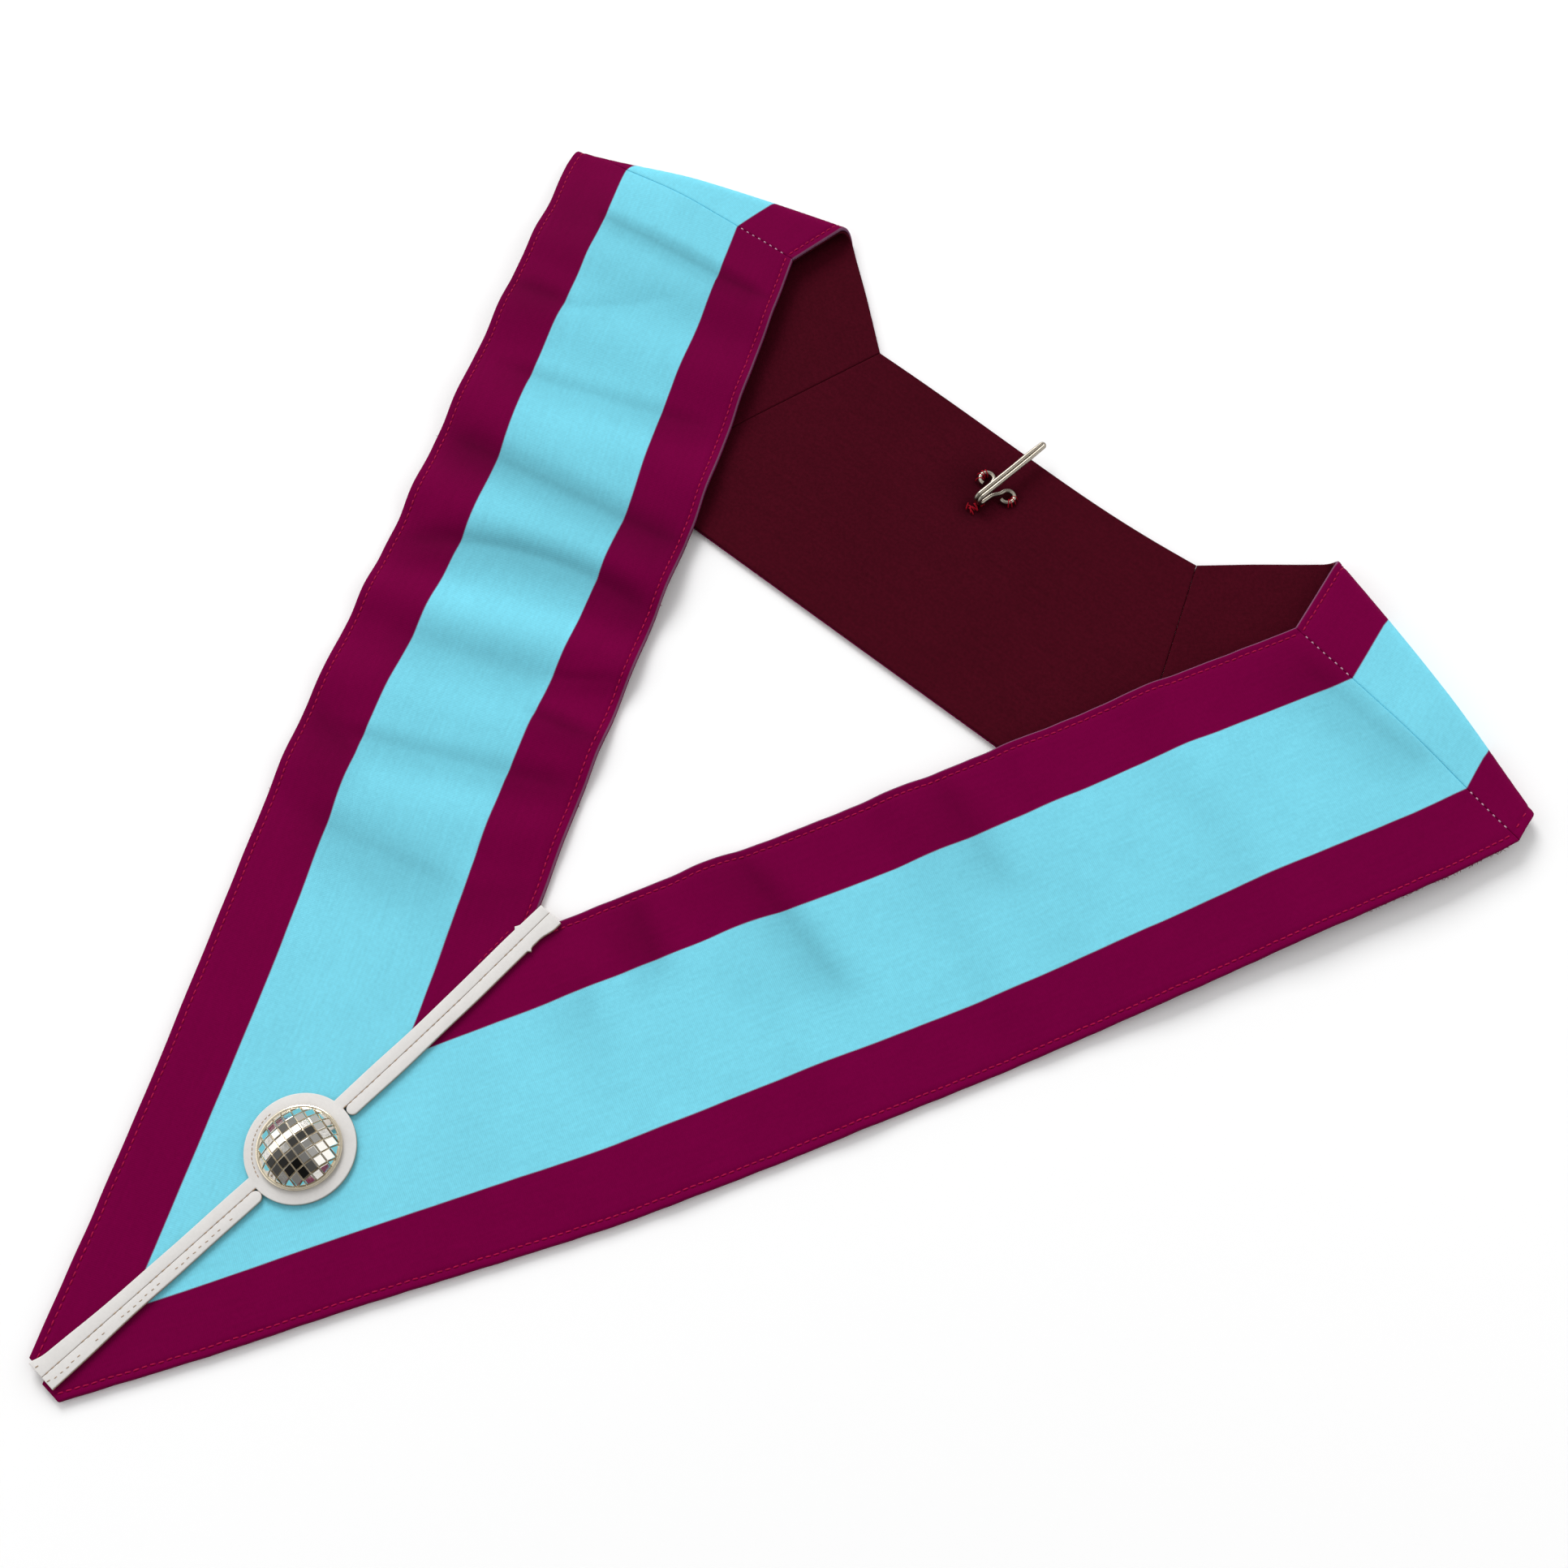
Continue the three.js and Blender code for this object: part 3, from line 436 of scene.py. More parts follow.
class Side:
    """One half of the cut, with x counted outward from the middle"""

    def __init__(self, lay, spec):
        cut = lay.cut
        self.lay = lay
        self.cut = cut
        self.name = spec["name"]
        self.sign = spec["sign"]
        self.tip_cut = spec["tip_cut"]
        self.droop = spec["droop"]
        self.outline = eased(spec["outline"], spec["eased"])
        self.waves = spec["waves"]
        self.creases = spec["creases"]
        shoulder_angle = cut.half_angle - cut.shoulder_turn
        seam_angle = cut.half_angle - cut.shoulder_turn / 2
        fold_angle = math.radians(spec["fold_angle"])
        self.arm_way = heading(cut.half_angle)
        self.arm_out = outward(cut.half_angle)
        self.shoulder_way = heading(shoulder_angle)
        self.seam_way = outward(seam_angle) / math.cos(cut.shoulder_turn / 2)
        self.seam_neck = lay.neck_corner + self.arm_way * cut.arm_length
        self.fold_way = np.array([math.cos(fold_angle), -math.sin(fold_angle)])
        self.fold_out = np.array([math.sin(fold_angle), math.cos(fold_angle)])
        ridge_neck = self.seam_neck + self.shoulder_way * spec["fold_setback"]
        self.behind_way = self.mirrored(self.shoulder_way)
        behind_out = self.mirrored(outward(shoulder_angle))
        turn = -cut.back_turn
        turned = np.array([[math.cos(turn), -math.sin(turn)], [math.sin(turn), math.cos(turn)]])
        back_out = turned @ behind_out
        seam = behind_out + back_out
        self.back_seam_way = seam / (seam @ back_out)
        self.back_neck = ridge_neck + self.behind_way * (cut.shoulder_length - spec["fold_setback"])
        self.fold_start = ridge_neck - self.fold_out * cut.fold_height / 2

    def mirrored(self, way):
        """A direction mirrored in the fold"""
        return self.fold_way * 2 * (way @ self.fold_way) - way

    def line_offset(self, share, along):
        """Distance of a ribbon line from the straight neck line"""
        at = along / self.cut.arm_length
        neck = column(self.outline, "neck", at)
        edge = column(self.outline, "edge", at)
        drift = column(self.outline, "drift", at) * 4 * share * (1 - share)
        sewing = bpy.context.scene.collar_sewing
        wobble = uneven(along, 0.02 * share, 3 + self.sign) * sewing.edge_wobble / self.cut.ribbon_width
        return self.cut.ribbon_width * (neck + share * (edge - neck) + drift + wobble * (2 * share - 1) ** 2)

    def arm_plan(self, share, along):
        """Plan point of the arm"""
        offset = self.line_offset(share, along)
        return self.lay.neck_corner + along[..., None] * self.arm_way + offset[..., None] * self.arm_out

    def line_start(self, share):
        """Where ribbon lines start: on the centre seam, or on the blunt tip"""
        along = -share * self.cut.ribbon_width / math.tan(self.cut.half_angle)
        for _ in range(30):
            point = self.arm_plan(share, along)
            on_seam = self.sign * self.lay.seam_x(point[..., 1]) + self.lay.half_gap - point[..., 0]
            on_tip = (self.tip_cut - point[..., 1]) / math.cos(self.cut.half_angle)
            along = along + np.maximum(on_seam / math.sin(self.cut.half_angle), on_tip)
        return along

    def drawn_in(self, share, part):
        """Share across the ribbon over the shoulder, drawn in with the outer edge"""
        slant = math.tan(self.cut.shoulder_turn / 2) * share * self.cut.ribbon_width
        at = 1 + (slant + part * self.cut.shoulder_length) / self.cut.arm_length
        return share * column(self.outline, "edge", at)

    def line_end(self, share):
        """Where ribbon lines end on the shoulder seam"""
        reach = self.drawn_in(share, np.zeros_like(share)) * self.cut.ribbon_width
        seam = self.seam_neck + reach[..., None] * self.seam_way
        return (seam - self.lay.neck_corner) @ self.arm_way - self.cut.seam_gap / 2

    def lift(self, share, along, x, beyond):
        """Height of the waves and creases that cross the arm"""
        cut = self.cut
        total = np.zeros(np.broadcast(share, along).shape)
        from_fold = smoothstep(-beyond, 0, cut.fold_blend)
        for wave in self.waves:
            crest = wave["at"] * cut.arm_length + wave["slant"] * share * cut.ribbon_width
            distance = np.clip(np.abs(along - crest) / (wave["reach"] * cut.wave_reach), 0, 1)
            bump = (1 + np.cos(np.pi * distance)) / 2
            total += bump * wave["height"] * cut.wave_height * (1 - wave["fade"] * share) * from_fold
        to_edge = 1 - 0.65 * smoothstep(np.abs(2 * share - 1), 0.72, 1)
        for distance, span in self.crease_lines(share, along):
            valley = 0.6 * np.exp(-((distance / 2.6) ** 2)) - np.exp(-(np.abs(distance) ** 1.3))
            total += valley * cut.crease_depth * span * to_edge * smoothstep(-beyond, 0, cut.fold_blend / 3)
        total += CLOTH_UNEVEN * (1 + uneven(along, share * cut.ribbon_width, 11 + self.sign))
        total = (total + np.sqrt(total**2 + SOFT_FLOOR**2)) / 2
        from_seam = smoothstep(x, cut.seam_flat, cut.seam_flat + cut.seam_blend)
        return total * from_seam * smoothstep(-beyond, 0, cut.fold_blend / 3)

    def crease_lines(self, share, along):
        """Distance from each crease in its half widths, and its depth at each place"""
        lines = []
        for crease in self.creases:
            middle = (crease["near"] + crease["far"]) / 2
            bowed = crease["arch"] * (1 - (2 * share - 1) ** 2)
            shift = crease["slant"] * (share - middle) + bowed
            line = crease["at"] * self.cut.arm_length + shift * self.cut.ribbon_width
            begun = smoothstep(share, crease["near"] - CREASE_SOFT, crease["near"] + CREASE_SOFT)
            ended = smoothstep(share, crease["far"] - CREASE_SOFT, crease["far"] + CREASE_SOFT)
            distance = (along - line) / (crease["width"] * self.cut.crease_width)
            lines.append((distance, begun * (1 - ended) * crease["depth"]))
        return lines

    def shade(self, share, along):
        """Painted shade: darkening of the cloth's colour in its creases"""
        total = np.zeros(np.broadcast(share, along).shape)
        for distance, span in self.crease_lines(share, along):
            sharp = np.exp(-(np.abs(distance) ** 1.2))
            wide = np.exp(-(((distance + 1) / 2.4) ** 2))
            total = np.maximum(total, span * (0.5 * sharp + 0.5 * wide))
        return np.clip(total, 0, 1)

    def wrap(self, along, beyond, level, offset):
        """Points of the sheet, wrapped round the shoulder fold where they pass it"""
        lay = self.lay
        angle = np.clip(beyond / lay.fold_radius, 0, math.pi)
        outside = (lay.fold_radius + offset) * np.sin(angle)
        past_fold = np.where(beyond < lay.fold_arc, outside, lay.fold_arc - beyond)
        flat_out = np.where(beyond <= 0, beyond, past_fold)
        round_z = lay.fold_centre + (lay.fold_radius + offset) * np.cos(angle)
        behind_z = lay.back_level - offset
        z = np.where(beyond <= 0, level + offset, np.where(beyond < lay.fold_arc, round_z, behind_z))
        blend = self.cut.fold_blend
        left_fold = smoothstep(beyond, lay.fold_arc, lay.fold_arc + blend)
        near_fold = smoothstep(beyond, -2 * blend, 0) * (1 - left_fold)
        pressed = self.droop * near_fold * smoothstep(along / self.cut.ribbon_width, DROOP_FROM, DROOP_TO)
        z = z - np.maximum(z - lay.back_level, 0) * pressed
        across = np.clip(along / (RIDGE_SPAN * self.cut.ribbon_width), 0, 1)
        bowed = self.cut.ridge_bulge * np.sin(np.pi * across) + self.cut.ridge_skew * (across - 0.5)
        flat_out = flat_out + near_fold * bowed
        plan = self.fold_start + along[..., None] * self.fold_way + flat_out[..., None] * self.fold_out
        return lay.in_frame(self.sign * plan[..., 0], plan[..., 1], z)

    def arm_point(self, share, along, offset):
        """Points of the arm at a distance from the face where ribbon and lining meet"""
        plan = self.arm_plan(share, along)
        rel = plan - self.fold_start
        beyond = rel @ self.fold_out
        lift = self.lift(share, along, plan[..., 0], beyond)
        level = self.lay.front_level(plan[..., 1], beyond) + lift
        return self.wrap(rel @ self.fold_way, beyond, level, offset)

    def shoulder_line(self, share, at_back):
        """End of a shoulder line as places along and beyond the fold when flat"""
        lay = self.lay
        reach = (share * self.cut.ribbon_width)[..., None]
        if at_back:
            point = self.back_neck + reach * self.back_seam_way - self.behind_way * self.cut.seam_gap / 2
            rel = point - self.fold_start
            return rel @ self.fold_way, lay.fold_arc - rel @ self.fold_out
        point = self.seam_neck + reach * self.seam_way + self.shoulder_way * self.cut.seam_gap / 2
        rel = point - self.fold_start
        return rel @ self.fold_way, rel @ self.fold_out

    def shoulder_point(self, share, part, offset):
        """Points of the shoulder piece, from its seam over the fold to the back seam"""
        drawn = self.drawn_in(share, part)
        start_along, start_beyond = self.shoulder_line(drawn, False)
        end_along, end_beyond = self.shoulder_line(drawn, True)
        along = start_along + (end_along - start_along) * part
        beyond = start_beyond + (end_beyond - start_beyond) * part
        y = self.fold_start[1] + self.fold_way[1] * along + self.fold_out[1] * beyond
        return self.wrap(along, beyond, self.lay.front_level(y, beyond), offset)


def spaced(total, fine, coarse_step):
    """Distances from 0 to total, with the fine list repeated at both ends"""
    fine = np.array(fine)
    middle = np.linspace(fine[-1], total - fine[-1], max(2, round((total - 2 * fine[-1]) / coarse_step)))
    return np.concatenate([fine[:-1], middle, total - fine[-2::-1]])


FINE_EDGE = [d * MM for d in (0, 0.08, 0.2, 0.36, 0.56, 0.8, 1.2, 1.6, 2.0, 2.35, 2.7, 3.05, 3.4, 3.9, 4.8)]
PLAIN_EDGE = [d * MM for d in (0, 0.1, 0.3, 0.6, 1.2)]


def edge_shape(distance, wall, stitched):
    """Change of the shown and hidden face near an edge: rounding, and the stitch channel"""
    sewing = bpy.context.scene.collar_sewing
    into_rim = np.clip(1 - distance / sewing.rim_radius, 0, 1)
    rounding = (wall / 2 - EDGE_SKIN) * (1 - np.sqrt(1 - into_rim**2))
    from_stitches = (distance - sewing.stitch_inset) / sewing.channel_width
    channel = sewing.channel_depth * np.exp(-(from_stitches**2)) if stitched else 0
    return -rounding - channel, HIDDEN_ROUNDING * rounding


def place_object(name, data):
    """New object at the origin, linked to the scene"""
    piece = bpy.data.objects.new(name, data)
    bpy.context.scene.collection.objects.link(piece)
    return piece


def add_mesh(name, points, faces, uv=None):
    """New mesh object at the origin"""
    mesh = bpy.data.meshes.new(name)
    mesh.from_pydata(points.tolist(), [], faces.tolist())
    if uv is not None:
        corner = np.empty(len(mesh.loops), dtype=np.int32)
        mesh.loops.foreach_get("vertex_index", corner)
        layer = mesh.uv_layers.new(name="Cloth")
        layer.data.foreach_set("uv", uv[corner].astype(np.float32).ravel())
    mesh.polygons.foreach_set("use_smooth", np.ones(len(mesh.polygons), dtype=bool))
    mesh.update()
    return place_object(name, mesh)


def signed_volume(points, faces):
    """Volume inside closed quads, negative if they face in"""
    a, b, c, d = (points[faces[:, k]] for k in range(4))
    first = np.einsum("ij,ij->i", a, np.cross(b, c))
    second = np.einsum("ij,ij->i", a, np.cross(c, d))
    return (first + second).sum() / 6


def cloth_shell(name, low, high, uv):
    """Closed wall of cloth between two grids of points"""
    rows, columns = high.shape[:2]
    count = rows * columns
    index = np.arange(count).reshape(rows, columns)
    a, b, c, d = index[:-1, :-1], index[:-1, 1:], index[1:, 1:], index[1:, :-1]
    under = np.stack([a, b, c, d], axis=-1).reshape(-1, 4)
    over = np.stack([a, d, c, b], axis=-1).reshape(-1, 4) + count
    rim = np.concatenate([index[0, :-1], index[:-1, -1], index[-1, :0:-1], index[:0:-1, 0]])
    after = np.roll(rim, -1)
    wall = np.stack([after, rim, rim + count, after + count], axis=-1)
    points = np.concatenate([low.reshape(-1, 3), high.reshape(-1, 3)])
    faces = np.concatenate([under, over, wall])
    if signed_volume(points, faces) < 0:
        faces = faces[:, ::-1]
    flat_uv = uv.reshape(-1, 2)
    return add_mesh(name, points, faces, np.concatenate([flat_uv, flat_uv]))


def add_shade(piece, shade):
    """Stores the painted shade, how much the cloth's colour darkens in its creases and dents, for both faces
    """
    both = np.concatenate([shade.ravel(), shade.ravel()])
    piece.data.attributes.new("Crease", "FLOAT", "POINT").data.foreach_set("value", both.astype(np.float32))


def flat_area(plan):
    """Area of a grid of plan points"""
    across = plan[:-1, 1:] - plan[1:, :-1]
    along = plan[1:, 1:] - plan[:-1, :-1]
    return float(np.abs(across[..., 0] * along[..., 1] - across[..., 1] * along[..., 0]).sum() / 2)


def cloth_grid(cut, length_along, fine, across_step, along_step):
    """Shares across the ribbon and along a piece, close together near the edges"""
    across = spaced(cut.ribbon_width, fine, across_step) / cut.ribbon_width
    part = spaced(length_along, PLAIN_EDGE, along_step) / length_along
    share, station = np.broadcast_arrays(across[None, :], part[:, None])
    return across, share, station, np.minimum(share, 1 - share) * cut.ribbon_width


def cloth_faces(point_at, layer, wall, sides, ends, stitched):
    """Near and far face of a wall of cloth, rounded at its edges"""
    shown, hidden = edge_shape(sides, wall, stitched)
    end_shown, end_hidden = edge_shape(ends, wall, False)
    out = 1 if layer[1] > layer[0] else -1
    near = point_at(layer[0] + out * np.maximum(hidden, end_hidden))
    return near, point_at(layer[1] + out * np.minimum(shown, end_shown))


def arm_cloth(side, name, layer, wall, stitched, fine, step):
    """Front arm of one side as a closed wall of cloth"""
    cut = side.cut
    across, share, station, sides = cloth_grid(cut, cut.arm_length * 1.3, fine, step, step * 0.72)
    start = side.line_start(across)[None, :]
    end = side.line_end(across)[None, :]
    along = start + (end - start) * station
    ends = np.minimum((along - start) * math.sin(cut.half_angle), end - along)

    def point_at(offset):
        return side.arm_point(share, along, offset)

    near, far = cloth_faces(point_at, layer, wall, sides, ends, stitched)
    uv = np.stack([share * cut.ribbon_width, along + cut.arm_length], axis=-1)
    piece = cloth_shell(name, near, far, uv)
    # Painted shade along the creases, kept on the piece for its material
    add_shade(piece, side.shade(share, along))
    return piece, flat_area(side.arm_plan(share, along)), float((end - start).max())


def shoulder_cloth(side, name, layer, wall, stitched, fine, step):
    """Shoulder piece of one side as a closed wall of cloth"""
    cut = side.cut
    share, station, sides = cloth_grid(cut, cut.shoulder_length, fine, step, step / 2)[1:]
    ends = np.minimum(station, 1 - station) * cut.shoulder_length

    def point_at(offset):
        return side.shoulder_point(share, station, offset)

    near, far = cloth_faces(point_at, layer, wall, sides, ends, stitched)
    reach = (share * cut.ribbon_width)[..., None]
    start = side.seam_neck + reach * side.seam_way
    unfolded_neck = side.seam_neck + side.shoulder_way * cut.shoulder_length
    end = unfolded_neck + reach * side.mirrored(side.back_seam_way)
    flat = start + (end - start) * station[..., None]
    v = (flat - side.seam_neck) @ side.shoulder_way
    uv = np.stack([share * cut.ribbon_width, v + 2 * cut.arm_length], axis=-1)
    return cloth_shell(name, near, far, uv), flat_area(flat), float(np.ptp(v))


def back_cloth(lay, name, layer, wall, fine, step, puckered):
    """Back panel as a closed wall of cloth, face down"""
    cut = lay.cut
    neck = lay.back_plan(np.array([0.0, 1.0]), np.array([0.0, 0.0]))
    span = float(np.linalg.norm(neck[1] - neck[0]))
    share, station, sides = cloth_grid(cut, span, fine, step, step)[1:]
    plan = lay.back_plan(station, share)
    sink = hook_puckers(lay, plan) if puckered else np.zeros(share.shape)

    def point_at(offset):
        return lay.in_frame(plan[..., 0], plan[..., 1], lay.back_level - offset)

    ends = np.minimum(station, 1 - station) * span
    near, far = cloth_faces(point_at, layer, wall, sides, ends, False)
    far[..., 2] -= sink
    v = (plan[..., 0] - plan[..., 0].min()) + 3 * cut.arm_length
    uv = np.stack([share * cut.ribbon_width, v], axis=-1)
    piece = cloth_shell(name, near, far, uv)
    # Painted shade in the dents that the hook's stitches pull, darkest where they sink deepest
    add_shade(piece, sink / PUCKER_DEPTH)
    return piece, flat_area(plan), float(np.ptp(plan[..., 0]))


def hook_frame(lay):
    """Place of the hook's bend and its two directions in plan"""
    trim = bpy.context.scene.collar_trim
    middle = lay.back_plan(np.array([0.5]), np.array([0.0]))[0]
    bend = middle + np.array([trim.hook_offset, -trim.hook_setback])
    angle = math.pi / 2 - trim.hook_turn
    ahead = np.array([math.cos(angle), math.sin(angle)])
    across = np.array([-ahead[1], ahead[0]])
    return bend, ahead, across


PUCKER_DEPTH = 0.75 * MM


def hook_puckers(lay, plan):
    """Depth of the dents that the hook's stitches pull into the lining"""
    trim = bpy.context.scene.collar_trim
    bend, ahead, across = hook_frame(lay)
    rel = plan - bend
    u = rel @ ahead
    v = rel @ across
    depth = np.zeros(u.shape)
    spread = trim.loop_spread / 2
    for du, dv, reach, deep in (
        (-1.5 * MM, 0, 4.5 * MM, 0.6 * MM),
        (trim.loop_from_bend, spread, 4 * MM, 0.45 * MM),
        (trim.loop_from_bend, -spread, 4 * MM, 0.45 * MM),
        (trim.loop_from_bend / 2, spread * 1.8, 9 * MM, 0.3 * MM),
    ):
        depth += deep * np.exp(-((u - du) ** 2 + (v - dv) ** 2) / reach**2)
    return np.minimum(depth, PUCKER_DEPTH)


def feed(tree, socket, value):
    """Links a socket, or sets a plain value"""
    if isinstance(value, bpy.types.NodeSocket):
        tree.links.new(value, socket)
    else:
        socket.default_value = value


def math_node(tree, operation, *values):
    """Result of a math node"""
    made = tree.nodes.new("ShaderNodeMath")
    made.operation = operation
    for socket, value in zip(made.inputs, values):
        feed(tree, socket, value)
    return made.outputs[0]


def shared_group(name, build, inputs, outputs):
    """Node group that is built once and placed in several materials"""
    tree = bpy.data.node_groups.get(name)
    if tree is None:
        tree = bpy.data.node_groups.new(name, "ShaderNodeTree")
        for direction, labels in (("INPUT", inputs), ("OUTPUT", outputs)):
            for label in labels:
                tree.interface.new_socket(label, in_out=direction, socket_type="NodeSocketFloat")
        build(tree, tree.nodes.new("NodeGroupInput").outputs, tree.nodes.new("NodeGroupOutput").inputs)
    return tree


def build_weave(tree, given, made):
    """Ribs across the cloth and finer threads along it, read from its own map"""
    place = tree.nodes.new("ShaderNodeUVMap")
    place.uv_map = "Cloth"
    split = tree.nodes.new("ShaderNodeSeparateXYZ")
    tree.links.new(place.outputs[0], split.inputs[0])
    waves = []
    for source, pitch in ((split.outputs[1], "Rib pitch"), (split.outputs[0], "Thread pitch")):
        turns = math_node(tree, "DIVIDE", source, given[pitch])
        waves.append(math_node(tree, "SINE", math_node(tree, "MULTIPLY", turns, 2 * math.pi)))
    ribs, threads = waves
    both = math_node(tree, "MULTIPLY_ADD", threads, 0.35, ribs)
    feed(tree, made["Height"], math_node(tree, "MULTIPLY", both, given["Relief"]))
    streaks = tree.nodes.new("ShaderNodeMapping")
    streaks.inputs["Scale"].default_value = (900, 60, 1)
    tree.links.new(place.outputs[0], streaks.inputs[0])
    noise = tree.nodes.new("ShaderNodeTexNoise")
    noise.inputs["Scale"].default_value = 1
    noise.inputs["Detail"].default_value = 3
    tree.links.new(streaks.outputs[0], noise.inputs["Vector"])
    feed(tree, made["Tone"], math_node(tree, "MULTIPLY_ADD", ribs, 0.12, noise.outputs[0]))


def build_mottle(tree, given, made):
    """Soft patches of tone over the object, read from object coordinates"""
    place = tree.nodes.new("ShaderNodeTexCoord")
    noise = tree.nodes.new("ShaderNodeTexNoise")
    noise.inputs["Detail"].default_value = 4
    tree.links.new(place.outputs["Object"], noise.inputs["Vector"])
    feed(tree, noise.inputs["Scale"], math_node(tree, "DIVIDE", 1.0, given["Size"]))
    centred = math_node(tree, "SUBTRACT", noise.outputs[0], 0.5)
    spread = math_node(tree, "MULTIPLY", centred, given["Amount"])
    feed(tree, made["Tone"], math_node(tree, "ADD", spread, 1.0))


class MaterialMaker:
    """Short calls for a material's nodes and links"""

    def __init__(self, name):
        self.material = bpy.data.materials.new(name)
        self.material.use_nodes = True
        self.tree = self.material.node_tree
        self.tree.nodes.clear()
        output = self.node("ShaderNodeOutputMaterial")
        self.shader = self.node("ShaderNodeBsdfPrincipled")
        self.link(self.shader.outputs[0], output.inputs["Surface"])

    def link(self, source, target):
        """Links two sockets"""
        self.tree.links.new(source, target)

    def node(self, kind, **values):
        """New node with its attributes set"""
        made = self.tree.nodes.new(kind)
        for key, value in values.items():
            setattr(made, key, value)
        return made

    def math(self, operation, *values):
        """Result of a math node"""
        return math_node(self.tree, operation, *values)

    def clamp(self, value, low, high):
        """A value held between two limits"""
        return self.math("MAXIMUM", self.math("MINIMUM", value, high), low)

    def mix(self, factor, first, second):
        """Mix of two colours"""
        made = self.node("ShaderNodeMix", data_type="RGBA")
        feed(self.tree, made.inputs[0], factor)
        for socket, value in ((made.inputs[6], first), (made.inputs[7], second)):
            feed(self.tree, socket, value if isinstance(value, bpy.types.NodeSocket) else (*value, 1))
        return made.outputs[2]

    def shade(self, shown, factor):
        """A colour made darker or lighter by a factor around 1"""
        made = self.node("ShaderNodeVectorMath", operation="SCALE")
        feed(self.tree, made.inputs[0], shown if isinstance(shown, bpy.types.NodeSocket) else tuple(shown))
        feed(self.tree, made.inputs["Scale"], factor)
        return made.outputs[0]

    def group(self, tree, **values):
        """Results of a placed node group with its inputs fed"""
        made = self.node("ShaderNodeGroup", node_tree=tree)
        for key, value in values.items():
            feed(self.tree, made.inputs[key.replace("_", " ").capitalize()], value)
        return made.outputs

    def mottle(self, size, amount):
        """Tone around 1 in soft patches of a size"""
        tree = shared_group("Soft mottle", build_mottle, ("Size", "Amount"), ("Tone",))
        return self.group(tree, size=size, amount=amount)["Tone"]

    def weave(self, rib_pitch, thread_pitch):
        """Height and tone of the woven cloth"""
        inputs = ("Rib pitch", "Thread pitch", "Relief")
        tree = shared_group("Woven ribs", build_weave, inputs, ("Height", "Tone"))
        return self.group(tree, rib_pitch=rib_pitch, thread_pitch=thread_pitch, relief=WEAVE_RELIEF)

    def across_cloth(self):
        """Place across the ribbon, from the cloth's own map"""
        place = self.node("ShaderNodeUVMap", uv_map="Cloth")
        split = self.node("ShaderNodeSeparateXYZ")
        self.link(place.outputs[0], split.inputs[0])
        return split.outputs[0]

    def woven(self, shown, weave, amount, patches):
        """A colour toned by the weave and by soft patches"""
        centred = self.math("SUBTRACT", weave["Tone"], 0.5)
        return self.shade(shown, self.math("MULTIPLY_ADD", centred, amount, patches))

    def painted_crease_shade(self, shown, amount):
        """A colour darkened by painted shade in the creases and dents of the cloth, read from the Crease
        attribute
        """
        crease = self.node("ShaderNodeAttribute", attribute_name="Crease")
        return self.shade(shown, self.math("MULTIPLY_ADD", crease.outputs["Fac"], -amount, 1.0))

    def bump(self, height):
        """Feeds a height in metres to the shader's normal"""
        made = self.node("ShaderNodeBump")
        made.inputs["Strength"].default_value = 1.0
        made.inputs["Distance"].default_value = 1.0
        self.link(height, made.inputs["Height"])
        self.link(made.outputs[0], self.shader.inputs["Normal"])

    def grain(self, size, depth):
        """Fine bumps of a size and a depth, read from object coordinates"""
        place = self.node("ShaderNodeTexCoord")
        noise = self.node("ShaderNodeTexNoise")
        noise.inputs["Scale"].default_value = 1 / size
        self.link(place.outputs["Object"], noise.inputs["Vector"])
        self.bump(self.math("MULTIPLY", noise.outputs[0], depth))

    def finish(self, shown, **values):
        """Feeds the colour and sets plain values on the shader's own sockets"""
        self.link(shown, self.shader.inputs["Base Color"])
        for key, value in values.items():
            self.shader.inputs[key.replace("_", " ").title().replace("Ior", "IOR")].default_value = value
        return self.material


WEAVE_RELIEF = 0.009 * MM
TURNED_WIDTH = 1.5 * MM


def ribbon_material():
    """Ribbed ribbon: light band between two borders, with a pale painted highlight along the turned neck edge
    and painted shade in the creases
    """
    colours = bpy.context.scene.collar_colours
    sewing = bpy.context.scene.collar_sewing
    made = MaterialMaker("ribbon_cloth")
    across = made.across_cloth()
    weave = made.weave(0.62 * MM, 0.4 * MM)
    jitter = made.math("MULTIPLY_ADD", weave["Tone"], 0.25 * MM, across)
    centre = sewing.inner_band + sewing.middle_band / 2
    from_centre = made.math("ABSOLUTE", made.math("SUBTRACT", jitter, centre))
    outside = made.math("SUBTRACT", from_centre, sewing.middle_band / 2)
    border = made.clamp(made.math("MULTIPLY_ADD", outside, 1 / (0.3 * MM), 0.5), 0.0, 1.0)
    banded = made.mix(border, colours.light, colours.border)
    # Painted highlight: pale colour on the turned neck edge, up to three quarters strength; a fine line at
    # half strength follows the band boundaries
    neck_edge_highlight = made.clamp(made.math("MULTIPLY_ADD", across, -1 / (0.5 * MM), 1.2), 0.0, 0.75)
    boundary = made.math("MULTIPLY_ADD", made.math("ABSOLUTE", outside), -1 / (0.3 * MM), 1.0)
    boundary = made.math("MULTIPLY", made.math("MAXIMUM", boundary, 0.0), 0.5)
    highlighted = made.mix(made.math("MAXIMUM", neck_edge_highlight, boundary), banded, colours.edge_highlight)
    # Painted shade darkens the ribbon's colour in its creases
    toned = made.woven(made.painted_crease_shade(highlighted, 0.4), weave, 0.16, made.mottle(0.03, 0.14))
    made.bump(weave["Height"])
    return made.finish(made.shade(toned, made.mottle(0.0012, 0.22)), roughness=0.7, specular_ior_level=0.015)


